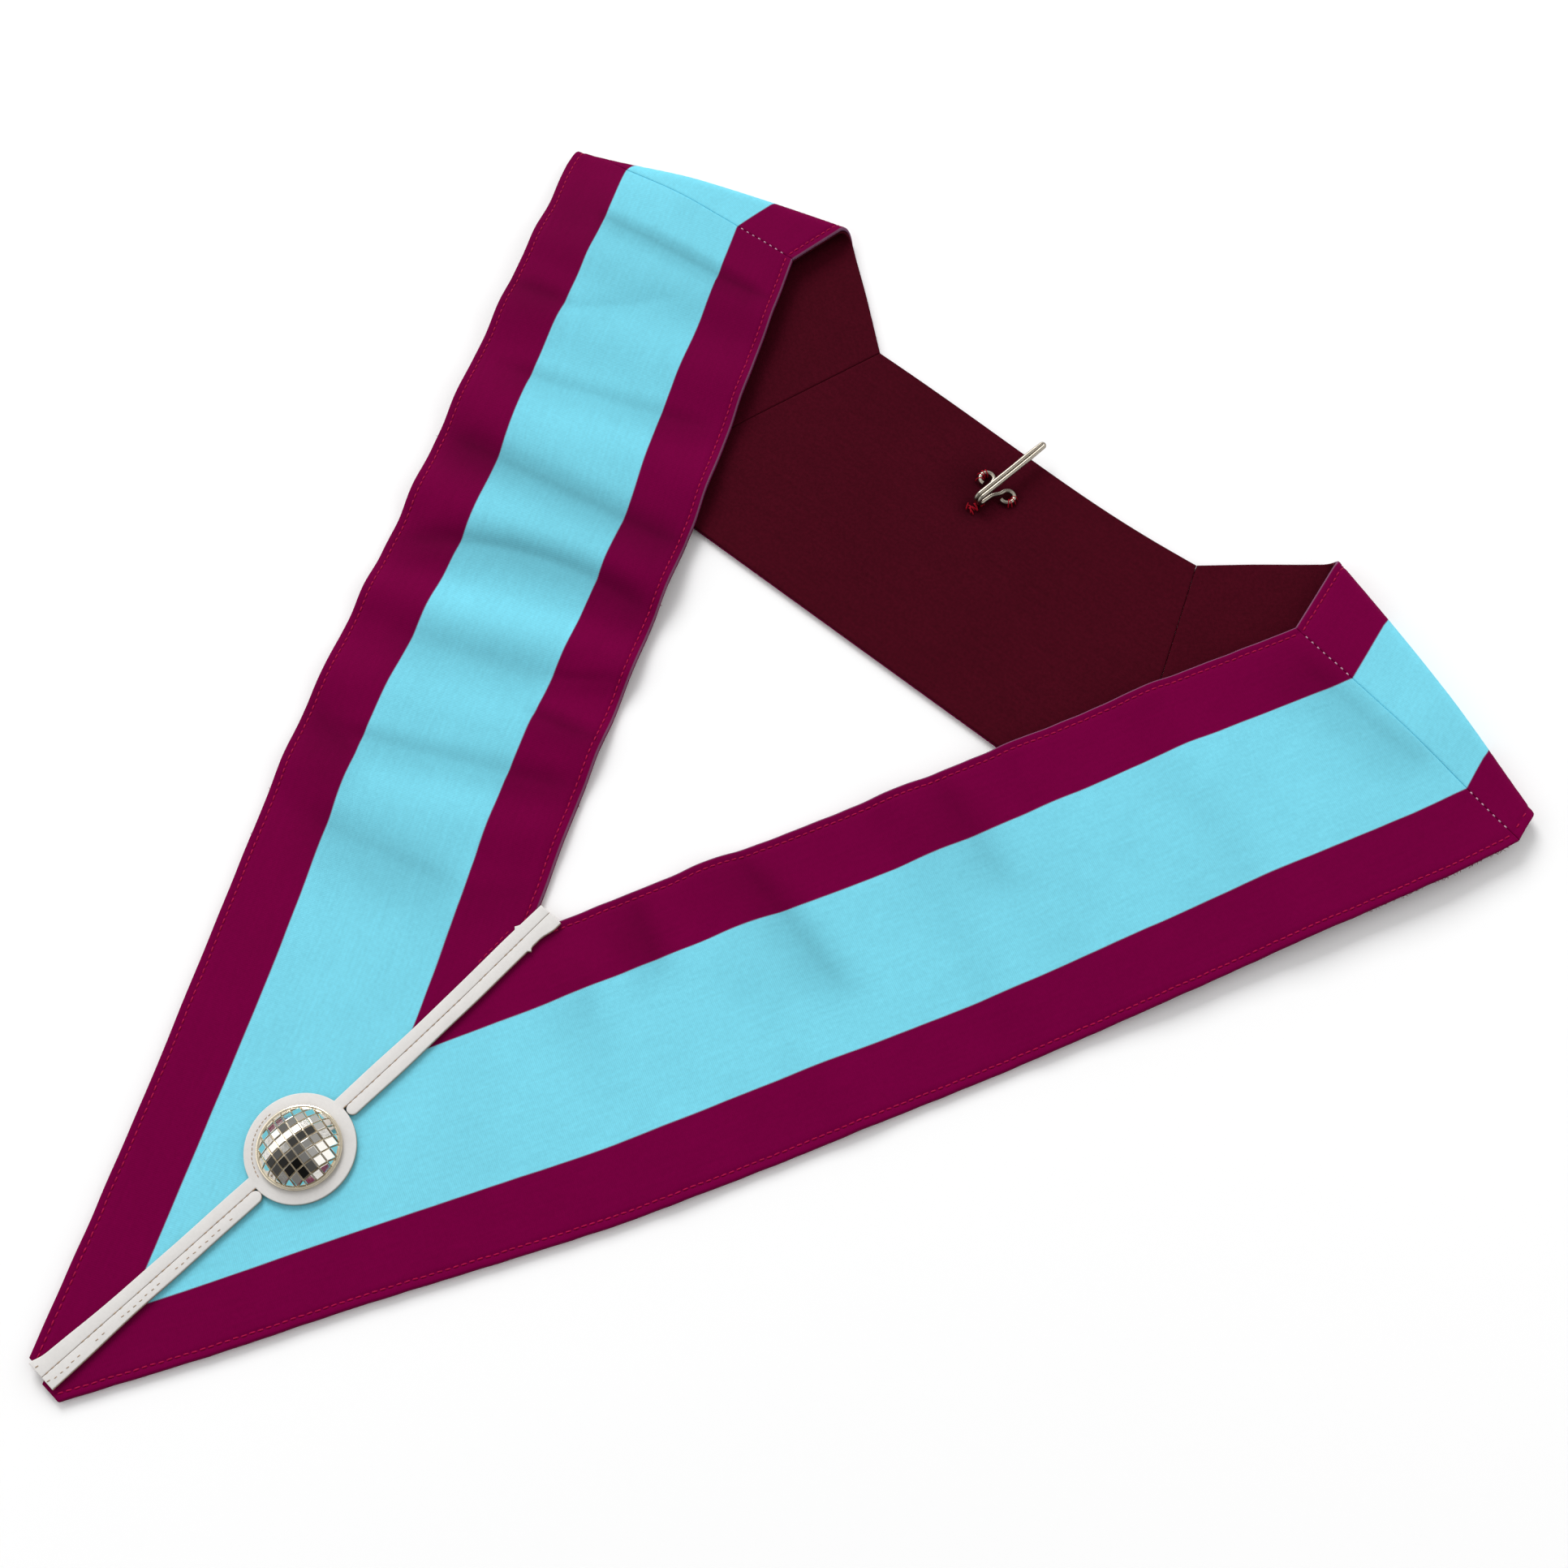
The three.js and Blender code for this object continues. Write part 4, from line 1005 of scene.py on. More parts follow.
def lining_material(name, edged):
    """Plain dark lining with a fine twill, with the ribbon turned over its edges if edged"""
    colours = bpy.context.scene.collar_colours
    half = bpy.context.scene.collar_cut.ribbon_width / 2
    made = MaterialMaker(name)
    weave = made.weave(0.5 * MM, 0.5 * MM)
    shown = made.woven(colours.lining, weave, 0.3, made.mottle(0.045, 0.3))
    if edged:
        from_middle = made.math("ABSOLUTE", made.math("SUBTRACT", made.across_cloth(), half))
        turned = made.math("GREATER_THAN", from_middle, half - TURNED_WIDTH)
        shown = made.mix(turned, shown, colours.border)
    # Painted shade darkens the lining's colour in its creases and in the dents round the hook
    shown = made.shade(made.painted_crease_shade(shown, 0.55), made.mottle(0.0011, 0.7))
    made.bump(weave["Height"])
    return made.finish(shown, roughness=0.9, specular_ior_level=0.03)


def thread_material(name, shown, roughness):
    """Sewing thread with small changes of tone and a twisted surface"""
    made = MaterialMaker(name)
    shown = made.shade(made.shade(shown, made.mottle(0.0008, 0.6)), made.mottle(0.009, 0.5))
    made.grain(0.25 * MM, 0.05 * MM)
    return made.finish(shown, roughness=roughness, specular_ior_level=0.1)


def braid_material():
    """Smooth off-white braid with bare cut sides"""
    colours = bpy.context.scene.collar_colours
    made = MaterialMaker("braid_white")
    facing = made.node("ShaderNodeNewGeometry")
    split = made.node("ShaderNodeSeparateXYZ")
    made.link(facing.outputs["Normal"], split.inputs[0])
    side = made.clamp(made.math("MULTIPLY_ADD", split.outputs[2], -1.9, 1.25), 0.0, 1.0)
    banded = made.mix(side, colours.braid, colours.braid_side)
    shown = made.shade(made.shade(banded, made.mottle(0.006, 0.12)), made.mottle(0.0009, 0.1))
    made.grain(0.7 * MM, 0.02 * MM)
    return made.finish(shown, roughness=0.55, specular_ior_level=0.35)


def metal_material(name, shown, roughness, wear, toned=False):
    """Polished or plain metal with light scratches of tone and roughness"""
    made = MaterialMaker(name)
    specks = made.mottle(0.0016, wear)
    tinted = made.shade(shown, specks)
    if toned:
        # Painted reflection: the Tone attribute darkens checks as if they mirrored dark surroundings
        tone = made.node("ShaderNodeAttribute", attribute_name="Tone")
        tinted = made.shade(tinted, tone.outputs["Fac"])
    made.link(made.math("MULTIPLY", specks, roughness), made.shader.inputs["Roughness"])
    made.grain(1.8 * MM, 0.02 * MM)
    return made.finish(tinted, metallic=1.0)


def floor_material():
    """Plain pale ground"""
    made = MaterialMaker("floor_paper")
    shown = made.shade(bpy.context.scene.collar_colours.floor, made.mottle(0.2, 0.01))
    return made.finish(shown, roughness=0.9, specular_ior_level=0.1)


def dress(piece, material, slot, *nodes):
    """Gives a finished piece its material and body and hides the nodes that it stands for; slot is not used
    """
    piece.data.materials.append(material)
    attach(piece, "root")
    if nodes:
        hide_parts(*nodes)


def sew_layer(lay, kind, materials, fine, steps):
    """Arms, shoulder pieces and back panel of the ribbon or of the lining"""
    cut = lay.cut
    shown = kind == "ribbon"
    wall = cut.ribbon_wall if shown else cut.lining_wall
    layer = (lay.half_gap, lay.half_gap + wall) if shown else (-lay.half_gap, -lay.half_gap - wall)
    arm_material, plain = materials
    step, back_step = steps
    for side in lay.sides:
        node = f"{kind}_front_{side.name}"
        piece, area, reach = arm_cloth(side, node + "_cloth", layer, wall, shown, fine, step)
        dress(piece, arm_material, kind, node)
        node = f"{kind}_shoulder_{side.name}"
        piece, area, reach = shoulder_cloth(side, node + "_cloth", layer, wall, shown, fine, step)
        dress(piece, plain, kind, node)
    piece, area, reach = back_cloth(lay, f"{kind}_back_cloth", layer, wall, fine, back_step, not shown)
    dress(piece, plain, kind, f"{kind}_back")


class COLLAR_OT_ribbon(bpy.types.Operator):
    """Builds the ribbon: two arms, two shoulder pieces and the back panel"""

    bl_idname = "collar.ribbon"
    bl_label = "Ribbon"

    def execute(self, context):
        material = ribbon_material()
        step = 1.5 * MM
        sew_layer(Lay(), "ribbon", (material, material), FINE_EDGE, (step, step))
        return {"FINISHED"}


class COLLAR_OT_lining(bpy.types.Operator):
    """Builds the lining behind the ribbon"""

    bl_idname = "collar.lining"
    bl_label = "Lining"

    def execute(self, context):
        plain = lining_material("lining_cloth", False)
        turned = lining_material("lining_turned", True)
        sew_layer(Lay(), "lining", (turned, plain), PLAIN_EDGE, (3 * MM, 1.5 * MM))
        return {"FINISHED"}


STITCH_SIDES = 6


def stitch_block(length_along, radius):
    """Points and faces of one stitch that dips at both ends, along x"""
    half = [(0.5, 0.4, -0.9), (0.36, 0.95, -0.15)]
    stations = table("x size z", *[(-x, size, z) for x, size, z in half], (0, 1, 0.1), *reversed(half))
    points = []
    faces = []
    for i, station in enumerate(stations):
        for k in range(STITCH_SIDES):
            angle = 2 * math.pi * k / STITCH_SIDES
            y = station["size"] * math.cos(angle)
            z = station["size"] * math.sin(angle) + station["z"]
            points.append((station["x"] * length_along, radius * y, radius * z))
            if i:
                low = (i - 1) * STITCH_SIDES
                after = (k + 1) % STITCH_SIDES
                faces.append((low + k, low + after, low + STITCH_SIDES + after, low + STITCH_SIDES + k))
    last = len(points) - STITCH_SIDES
    faces += [(0, 5, 4, 3), (0, 3, 2, 1)]
    faces += [(last, last + 1, last + 2, last + 3), (last, last + 3, last + 4, last + 5)]
    return np.array(points), np.array(faces)


def lay_stitches(name, lines, block, seed):
    """One mesh of stitches set along lines of points, each with its upward direction"""
    points, faces = block
    dice = random.Random(seed)
    all_points = []
    all_faces = []
    for before, after, up in lines:
        middle = (before + after) / 2
        ahead = after - before
        ahead = ahead / np.linalg.norm(ahead, axis=1, keepdims=True)
        up = up - (up * ahead).sum(axis=1, keepdims=True) * ahead
        up = up / np.linalg.norm(up, axis=1, keepdims=True)
        across = np.cross(up, ahead)
        for k in range(len(middle)):
            turn = dice.uniform(-0.08, 0.08)
            size = dice.uniform(0.92, 1.06)
            axes = np.stack([ahead[k] + turn * across[k], across[k] - turn * ahead[k], up[k]])
            shift = across[k] * dice.uniform(-0.08, 0.08) * MM
            all_faces.append(faces + len(all_points) * len(points))
            all_points.append(points * np.array([size, 1, 1]) @ axes + middle[k] + shift)
    if not all_points:
        raise ValueError(f"No stitches fall on the lines of {name}")
    solid = np.concatenate(all_faces)
    if signed_volume(all_points[0], faces) < 0:
        solid = solid[:, ::-1]
    return add_mesh(name, np.concatenate(all_points), solid)


def surface_line(point_at, places, half_length):
    """Start, end and upward direction of stitches on a surface given by place and side step"""
    before = point_at(places - half_length, 0)
    after = point_at(places + half_length, 0)
    beside = point_at(places, 0.5 * MM)
    middle = (before + after) / 2
    up = np.cross(after - before, beside - middle)
    flip = np.sign(up[:, 2:3])
    return before, after, up * np.where(flip == 0, 1, flip)


class COLLAR_OT_stitching(bpy.types.Operator):
    """Sews the stitching along the edges and in the shoulder seams"""

    bl_idname = "collar.stitching"
    bl_label = "Stitching"

    def edge_lines(self, lay, side, sewing):
        """Stitch lines of one side along the neck edge and the outer edge"""
        cut = lay.cut
        top = lay.half_gap + cut.ribbon_wall - sewing.channel_depth + 0.12 * MM
        half = sewing.stitch_length / 2
        lines = []
        for share in (sewing.stitch_inset / cut.ribbon_width, 1 - sewing.stitch_inset / cut.ribbon_width):
            inward = (1 if share < 0.5 else -1) / cut.ribbon_width
            start = float(side.line_start(np.array([share]))[0]) + 1.5 * MM
            end = float(side.line_end(np.array([share]))[0]) - 1 * MM
            places = np.arange(start + half, end - half, sewing.stitch_pitch)

            def on_arm(place, step, share=share, inward=inward):
                return side.arm_point(np.full_like(place, share + inward * step), place, top)

            lines.append(surface_line(on_arm, places, half))
            run = cut.shoulder_length
            parts = np.arange(1 * MM + half, run * 0.97 - half, sewing.stitch_pitch)

            def on_shoulder(place, step, share=share, inward=inward):
                return side.shoulder_point(np.full_like(place, share + inward * step), place / run, top)

            before, after, up = surface_line(on_shoulder, parts, half)
            shown = (before[:, 2] > lay.fold_centre) & (after[:, 2] > lay.fold_centre)
            lines.append((before[shown], after[shown], up[shown]))
        if side.sign < 0:
            lines.append(self.turned_line(lay, side, sewing, top))
        return lines

    def turned_line(self, lay, side, sewing, top):
        """Stitches that turn at the point of the V and follow the braid"""
        trim = bpy.context.scene.collar_trim
        half = sewing.stitch_length / 2
        down = np.arange(5 * MM, 19 * MM, sewing.stitch_pitch)

        def on_seam_side(place, step):
            y = lay.neck_corner[1] - place
            x = side.sign * lay.seam_x(y) + trim.strip_width + 1.1 * MM + step
            rel = np.stack([x, y], axis=-1) - lay.neck_corner
            return side.arm_point(rel @ side.arm_out / lay.cut.ribbon_width, rel @ side.arm_way, top)

        return surface_line(on_seam_side, down, half)

    def seam_lines(self, lay, side, sewing):
        """Stitches that show in the borders of a shoulder seam"""
        cut = lay.cut
        top = lay.half_gap + cut.ribbon_wall - 0.3 * MM
        light_from = sewing.inner_band / cut.ribbon_width
        light_to = (sewing.inner_band + sewing.middle_band) / cut.ribbon_width
        pitch = sewing.seam_pitch / cut.ribbon_width
        inner = np.arange(0.05, light_from - 0.01, pitch)
        outer = np.arange(light_to + 0.02, 0.95, pitch)
        shares = inner if side.sign < 0 else np.concatenate([inner, outer])
        half = sewing.seam_stitch / 2 / cut.ribbon_width

        def on_seam(place, step):
            end = side.line_end(place)
            return side.arm_point(place, end - step, top)

        return [surface_line(on_seam, shares, half)]

    def execute(self, context):
        sewing = context.scene.collar_sewing
        colours = context.scene.collar_colours
        lay = Lay()
        edge_block = stitch_block(sewing.stitch_length, sewing.stitch_radius)
        seam_block = stitch_block(sewing.seam_stitch, 0.32 * MM)
        crimson = thread_material("edge_thread", colours.edge_thread, 0.5)
        pale = thread_material("seam_thread", colours.seam_thread, 0.6)
        for side in lay.sides:
            lines = self.edge_lines(lay, side, sewing)
            dress(lay_stitches(f"edge_stitches_{side.name}", lines, edge_block, 5), crimson, "ribbon")
            lines = self.seam_lines(lay, side, sewing)
            dress(lay_stitches(f"seam_stitches_{side.name}", lines, seam_block, 7), pale, "ribbon")
        return {"FINISHED"}


def strip_breadth(lay, y, hand):
    """Width of a strip of braid, wider towards the tip, with a snag near the neck"""
    trim = bpy.context.scene.collar_trim
    tip = lay.tip_end - trim.strip_tip
    widening = 1 - smoothstep(y, tip, tip + trim.tip_run)
    top = lay.neck_corner[1] + trim.strip_top
    flare = 1.2 * MM * math.exp(-(((y - tip) / (3 * MM)) ** 2)) if hand < 0 else 0
    flare += 1.3 * MM * float(smoothstep(y, top - 9 * MM, top - 2 * MM)) if hand > 0 else 0
    snag_y = lay.neck_corner[1] - (2 if hand < 0 else 4.5) * MM
    snag = 1.1 * MM * max(0.0, 1 - abs(y - snag_y) / (0.9 * MM))
    uneven_edge = 0.2 * MM * float(uneven(np.array(y), np.array(0.01 * hand), 23))
    return trim.strip_width + trim.tip_widening * float(widening) + flare + snag + uneven_edge


def strip_side(lay, hand, from_y, to_y, outer):
    """Points along one edge of a strip of braid"""
    trim = bpy.context.scene.collar_trim
    steps = max(6, round(abs(to_y - from_y) / (0.8 * MM)))
    points = []
    for i in range(steps + 1):
        y = from_y + (to_y - from_y) * i / steps
        offset = trim.strip_gap / 2 + (strip_breadth(lay, y, hand) if outer else 0)
        points.append((float(lay.seam_x(y)) + hand * offset, y))
    return points


def ring_crossing(lay, outer, direction, radius):
    """Where an edge of the left strip meets the ring"""
    trim = bpy.context.scene.collar_trim
    centre = lay.ring_centre
    low = 0.0
    high = radius * 1.2
    for _ in range(40):
        middle = (low + high) / 2
        y = centre[1] + direction * middle
        offset = trim.strip_gap / 2 + (strip_breadth(lay, y, -1) if outer else 0)
        x = float(lay.seam_x(y)) - offset
        if math.hypot(x - centre[0], y - centre[1]) < radius:
            low = middle
        else:
            high = middle
    return centre[1] + direction * high, x


def arc(centre, radius, start, end, steps):
    """Points of an arc without its ends"""
    turns = [start + (end - start) * i / steps for i in range(1, steps)]
    return [(centre[0] + radius * math.cos(t), centre[1] + radius * math.sin(t)) for t in turns]


def curve_lines(name, paths, closed):
    """Curve object that runs straight from point to point along each path"""
    curve = bpy.data.curves.new(name, "CURVE")
    curve.dimensions = "2D" if closed else "3D"
    for path in paths:
        spline = curve.splines.new("POLY")
        spline.points.add(len(path) - 1)
        for point, place in zip(spline.points, path):
            point.co = (*place, 1)
        spline.use_cyclic_u = closed
    return place_object(name, curve)


def flat_band(lay, name, outlines, base):
    """Solid flat band with rounded edges from closed outlines, made as a filled curve"""
    trim = bpy.context.scene.collar_trim
    shift = lay.shift
    piece = curve_lines(name, [[(x + shift[0], y + shift[1], 0) for x, y in line] for line in outlines], True)
    piece.data.fill_mode = "BOTH"
    piece.data.extrude = trim.strip_wall / 2 - trim.strip_round
    piece.data.bevel_depth = trim.strip_round
    piece.data.bevel_resolution = 3
    piece.data.offset = -trim.strip_round
    make_mesh(piece)
    piece.data.transform(Matrix.Translation((0, 0, base + trim.strip_wall / 2)))
    tidy_normals(piece)
    return piece


def only(piece):
    """Selects one object and makes it active"""
    bpy.ops.object.select_all(action="DESELECT")
    piece.select_set(True)
    bpy.context.view_layer.objects.active = piece


def make_mesh(piece):
    """Turns a curve object into a mesh"""
    only(piece)
    bpy.ops.object.convert(target="MESH")


def edit_all(piece):
    """Opens one object in edit mode with all of it selected"""
    only(piece)
    bpy.ops.object.mode_set(mode="EDIT")
    bpy.ops.mesh.select_all(action="SELECT")


def tidy_normals(piece, angle=35):
    """Merges doubles, turns faces outward and smooths them by angle"""
    edit_all(piece)
    bpy.ops.mesh.remove_doubles(threshold=0.002 * MM)
    bpy.ops.mesh.normals_make_consistent(inside=False)
    bpy.ops.object.mode_set(mode="OBJECT")
    bpy.ops.object.shade_smooth_by_angle(angle=math.radians(angle))


# Half the length of a braid mark of size 1
MARK_HALF = 0.7 * MM


class COLLAR_OT_braid(bpy.types.Operator):
    """Lays the braid: the left strip with the ring round the button, and two right strips"""

    bl_idname = "collar.braid"
    bl_label = "Braid"

    def loop_outline(self, lay, trim):
        """Outline of the left strip and the ring as one piece"""
        radius = trim.ring_outer / 2
        centre = lay.ring_centre
        tip = lay.tip_end - trim.strip_tip
        top = lay.neck_corner[1] + trim.strip_top
        marks = {}
        for outer in (False, True):
            for direction in (-1, 1):
                y, x = ring_crossing(lay, outer, direction, radius)
                marks[outer, direction] = (y, math.atan2(y - centre[1], x - centre[0]) % (2 * math.pi))
        low_near, low_near_turn = marks[False, -1]
        high_near, high_near_turn = marks[False, 1]
        low_far, low_far_turn = marks[True, -1]
        high_far, high_far_turn = marks[True, 1]
        outline = strip_side(lay, -1, tip, low_near, False)
        outline += arc(centre, radius, low_near_turn - 2 * math.pi, high_near_turn, 72)
        outline += strip_side(lay, -1, high_near, top, False)
        outline += strip_side(lay, -1, top, high_far, True)
        outline += arc(centre, radius, high_far_turn, low_far_turn, 60)
        outline += strip_side(lay, -1, low_far, tip, True)
        return outline

    def butted_outline(self, lay, trim, far, direction):
        """Outline of a right strip that stops at the ring with a round end"""
        centre = lay.ring_centre
        half = trim.strip_width / 2
        reach = trim.ring_outer / 2 + trim.strip_gap + half
        end = centre[1] + direction * math.sqrt(reach**2 - (trim.strip_gap / 2 + half) ** 2)
        half = strip_breadth(lay, end, 1) / 2
        middle = (float(lay.seam_x(end)) + trim.strip_gap / 2 + half, end)
        outline = strip_side(lay, 1, far, end, False)
        outline += arc(middle, half, math.pi, math.pi * (2 if direction > 0 else 0), 14)
        outline += strip_side(lay, 1, end, far, True)
        return outline

    def marks(self, lay, trim, base):
        """Short stitch marks in the groove and on the lower right strip, round the ring, at the tip"""
        dice = random.Random(31)
        top = base + trim.strip_wall + 0.02 * MM
        tip = lay.tip_end - trim.strip_tip
        ring = lay.ring_centre
        rows = []
        y = tip + 2 * MM
        while y < lay.neck_corner[1] - 3 * MM:
            from_ring = abs(y - ring[1]) - trim.ring_outer / 2
            x = float(lay.seam_x(y))
            if from_ring > 0 and dice.random() < 0.8:
                rows.append((x, y, 0.05, 1, dice.uniform(0.9, 1.6), -0.1))
            if from_ring > 12 * MM and y < ring[1] and dice.random() < 0.7:
                share = dice.uniform(0.55, 0.62)
                place = x + share * strip_breadth(lay, y, 1)
                rows.append((place, y + 1 * MM, 0.15, 1, dice.uniform(0.3, 0.7), -0.06))
            y += dice.uniform(2.1, 2.6) * MM
        for turn in np.arange(math.radians(178), math.radians(262), 0.1):
            if dice.random() < 0.92:
                radius = trim.ring_outer / 2 * 0.85
                x = ring[0] + radius * math.cos(turn)
                y = ring[1] + radius * math.sin(turn)
                rows.append((x, y, -math.sin(turn), math.cos(turn), dice.uniform(0.9, 1.3), -0.08))
        for x_share, y_step in ((-0.55, 1.1), (0.35, 0.9)):
            x = float(lay.seam_x(tip)) + x_share * trim.strip_width * 1.6
            rows.append((x, tip + y_step * MM, 0.2, 1, 0.9, 0))
        x, y, along_x, along_y, size, sink = np.array(rows).T
        centre = lay.in_frame(x, y, top + sink * MM)
        half = MARK_HALF * np.stack([size * along_x, size * along_y, np.zeros_like(size)], axis=-1)
        return [(centre - half, centre + half, np.tile([0.0, 0.0, 1.0], (len(rows), 1)))]

    def execute(self, context):
        trim = context.scene.collar_trim
        colours = context.scene.collar_colours
        lay = Lay()
        base = lay.front_top + lay.cut.clearance
        tip = lay.tip_end - trim.strip_tip
        top = lay.neck_corner[1] + trim.strip_top
        material = braid_material()
        hole = arc(lay.ring_centre, trim.ring_inner / 2, 0, 2 * math.pi, 96)
        hole.append((lay.ring_centre[0] + trim.ring_inner / 2, lay.ring_centre[1]))
        outlines = {
            "braid_loop": [self.loop_outline(lay, trim), hole],
            "braid_lower": [self.butted_outline(lay, trim, tip, -1)],
            "braid_upper": [self.butted_outline(lay, trim, top, 1)],
        }
        for node, lines in outlines.items():
            dress(flat_band(lay, node + "_white", lines, base), material, "braid", node)
        block = stitch_block(1.3 * MM, 0.18 * MM)
        piece = lay_stitches("braid_marks", self.marks(lay, trim, base), block, 9)
        dress(piece, thread_material("braid_mark", colours.mark, 0.8), "braid")
        return {"FINISHED"}


# Checks darkened by a painted reflection, as shares of the dome's foot from its middle: a row for each dark
# streak
REFLECTED_DARK_CHECKS = table(
    "from_x from_y to_x to_y reach depth",
    (-0.56, 0.03, 0.34, 0.59, 0.2, 0.75),
    (0.06, 0.46, 0.13, -0.15, 0.2, 0.96),
    (0.04, -0.64, 0.63, -0.17, 0.3, 0.98),
)
# Insets of each check as shares of the pitch and of its rise: groove, slope and soft top
CHECK_INSETS = ((0.03, 0), (0.05, 1), (0.04, 0.15))
# Sides of the dome's round cut, and how far its wall reaches down behind the rim
ROUND_SIDES = 48
SKIRT = 0.3 * MM
POST_RADIUS = 4 * MM
RIM_ROUND = 0.35 * MM


def dome_shape(trim):
    """Radius of the dome's foot, radius of its sphere and height of the sphere's centre"""
    foot = trim.button_width / 2 - trim.rim_width
    radius = (foot**2 + trim.dome_height**2) / (2 * trim.dome_height)
    return foot, radius, trim.dome_height - radius


class COLLAR_OT_button(bpy.types.Operator):
    """Builds the domed button: turned rim and a dome of square checks"""

    bl_idname = "collar.button"
    bl_label = "Button"

    def rim(self, lay, trim, plate):
        """Rim, underside and post, turned round the button's axis"""
        foot = dome_shape(trim)[0]
        edge = trim.button_width / 2
        top = plate + trim.rim_height
        base = lay.front_top + lay.cut.clearance
        profile = [
            (0, base),
            (POST_RADIUS, base),
            (POST_RADIUS, plate + 0.2 * MM),
            (edge - 0.9 * MM, plate),
            (edge - 0.3 * MM, plate + 0.1 * MM),
            (edge, plate + 0.45 * MM),
            (edge, top - RIM_ROUND),
            (edge - 0.12 * MM, top - 0.1 * MM),
            (edge - RIM_ROUND, top),
            (foot + RIM_ROUND, top),
            (foot + 0.1 * MM, top - 0.12 * MM),
            (foot - 0.1 * MM, top - RIM_ROUND),
            (foot - 0.5 * MM, top - RIM_ROUND),
            (0, top - RIM_ROUND),
        ]
        points = [(r, 0, z) for r, z in profile]
        edges = [(i, i + 1) for i in range(len(points) - 1)]
        mesh = bpy.data.meshes.new("button_rim")
        mesh.from_pydata(points, edges, [])
        piece = place_object("button_rim", mesh)
        edit_all(piece)
        bpy.ops.mesh.spin(steps=72, angle=2 * math.pi, center=(0, 0, 0), axis=(0, 0, 1))
        bpy.ops.object.mode_set(mode="OBJECT")
        piece.data.transform(Matrix.Translation((*self.centre(lay), 0)))
        tidy_normals(piece, 40)
        return piece

    def centre(self, lay):
        """Middle of the button in the frame"""
        return tuple(lay.ring_centre + lay.shift)

    def checks(self, lay, trim, plate):
        """Dome of raised checks: a grid inset face by face, bent onto the dome and trimmed round"""
        foot, radius, centre = dome_shape(trim)
        pitch = trim.check_pitch
        count = 2 * math.ceil(foot / pitch) + 1
        bpy.ops.object.select_all(action="DESELECT")
        bpy.ops.mesh.primitive_grid_add(x_subdivisions=count, y_subdivisions=count, size=count * pitch)
        piece = bpy.context.active_object
        piece.name = "button_checks"
        edit_all(piece)
        for width, rise in CHECK_INSETS:
            bpy.ops.mesh.inset(thickness=pitch * width, depth=trim.check_rise * rise, use_individual=True)
        bpy.ops.object.mode_set(mode="OBJECT")
        for face in piece.data.polygons:
            face.material_index = 0 if face.center.z > trim.check_rise * 0.9 else 1
        self.paint_reflection_tone(piece, foot, pitch)
        self.bend_checks(piece, trim, pitch, radius, centre)
        self.trim_round(piece, foot)
        top = plate + trim.rim_height
        turn = Matrix.Rotation(trim.check_turn, 4, "Z")
        piece.data.transform(Matrix.Translation((*self.centre(lay), top)) @ turn)
        return piece

    def paint_reflection_tone(self, piece, foot, pitch):
        """Gives each check its tone of painted reflection, darker along the rows of the table"""
        tone = piece.data.attributes.new("Tone", "FLOAT", "FACE")
        dice = random.Random(8)
        own = {}
        for face in piece.data.polygons:
            cell = (round(face.center.x / pitch), round(face.center.y / pitch))
            if cell not in own:
                place = Vector(cell) * pitch / foot
                dark = 0
                for row in REFLECTED_DARK_CHECKS:
                    start = Vector((row["from_x"], row["from_y"]))
                    way = Vector((row["to_x"], row["to_y"])) - start
                    part = min(max((place - start).dot(way) / way.length_squared, 0), 1)
                    away = (place - start - way * part).length
                    near = 1 - smoothstep(away, row["reach"] / 2, row["reach"])
                    dark = max(dark, row["depth"] * float(near))
                own[cell] = 1 - dark * dice.uniform(0.9, 1)
            tone.data[face.index].value = own[cell]

    def bend_checks(self, piece, trim, pitch, radius, centre):
        """Sets each check flat on the dome with a small tilt of its own"""
        dice = random.Random(4)
        tilts = {}
        for vertex in piece.data.vertices:
            x, y, rise = vertex.co
            if rise > trim.check_rise / 2:
                cell = (round(x / pitch), round(y / pitch))
                if cell not in tilts:
                    tilts[cell] = (dice.gauss(0, 0.025), dice.gauss(0, 0.025))
                cx, cy = (c * pitch for c in cell)
                height = math.sqrt(max(radius**2 - cx**2 - cy**2, (radius / 3) ** 2))
                lean_x, lean_y = tilts[cell]
                slope_x = -cx / height + lean_x
                slope_y = -cy / height + lean_y
                bulge = -((x - cx) ** 2 + (y - cy) ** 2) / (2 * radius) * 0.5
                z = centre + height + slope_x * (x - cx) + slope_y * (y - cy) + bulge + rise
            else:
                z = centre + math.sqrt(max(radius**2 - x**2 - y**2, (radius / 3) ** 2)) + rise
            vertex.co.z = z

    def trim_round(self, piece, foot):
        """Cuts the grid to a round and closes it below"""
        edit_all(piece)
        for i in range(ROUND_SIDES):
            angle = 2 * math.pi * i / ROUND_SIDES
            normal = (math.cos(angle), math.sin(angle), 0)
            place = (normal[0] * foot, normal[1] * foot, 0)
            bpy.ops.mesh.select_all(action="SELECT")
            bpy.ops.mesh.bisect(plane_co=place, plane_no=normal, clear_outer=True, use_fill=False)
        bpy.ops.mesh.select_all(action="DESELECT")
        bpy.ops.mesh.select_non_manifold()
        bpy.ops.mesh.extrude_region_move()
        bpy.ops.object.mode_set(mode="OBJECT")
        for vertex in piece.data.vertices:
            if vertex.select:
                vertex.co.z = -SKIRT
        bpy.ops.object.mode_set(mode="EDIT")
        bpy.ops.mesh.edge_face_add()
        bpy.ops.object.mode_set(mode="OBJECT")
        tidy_normals(piece, 12)

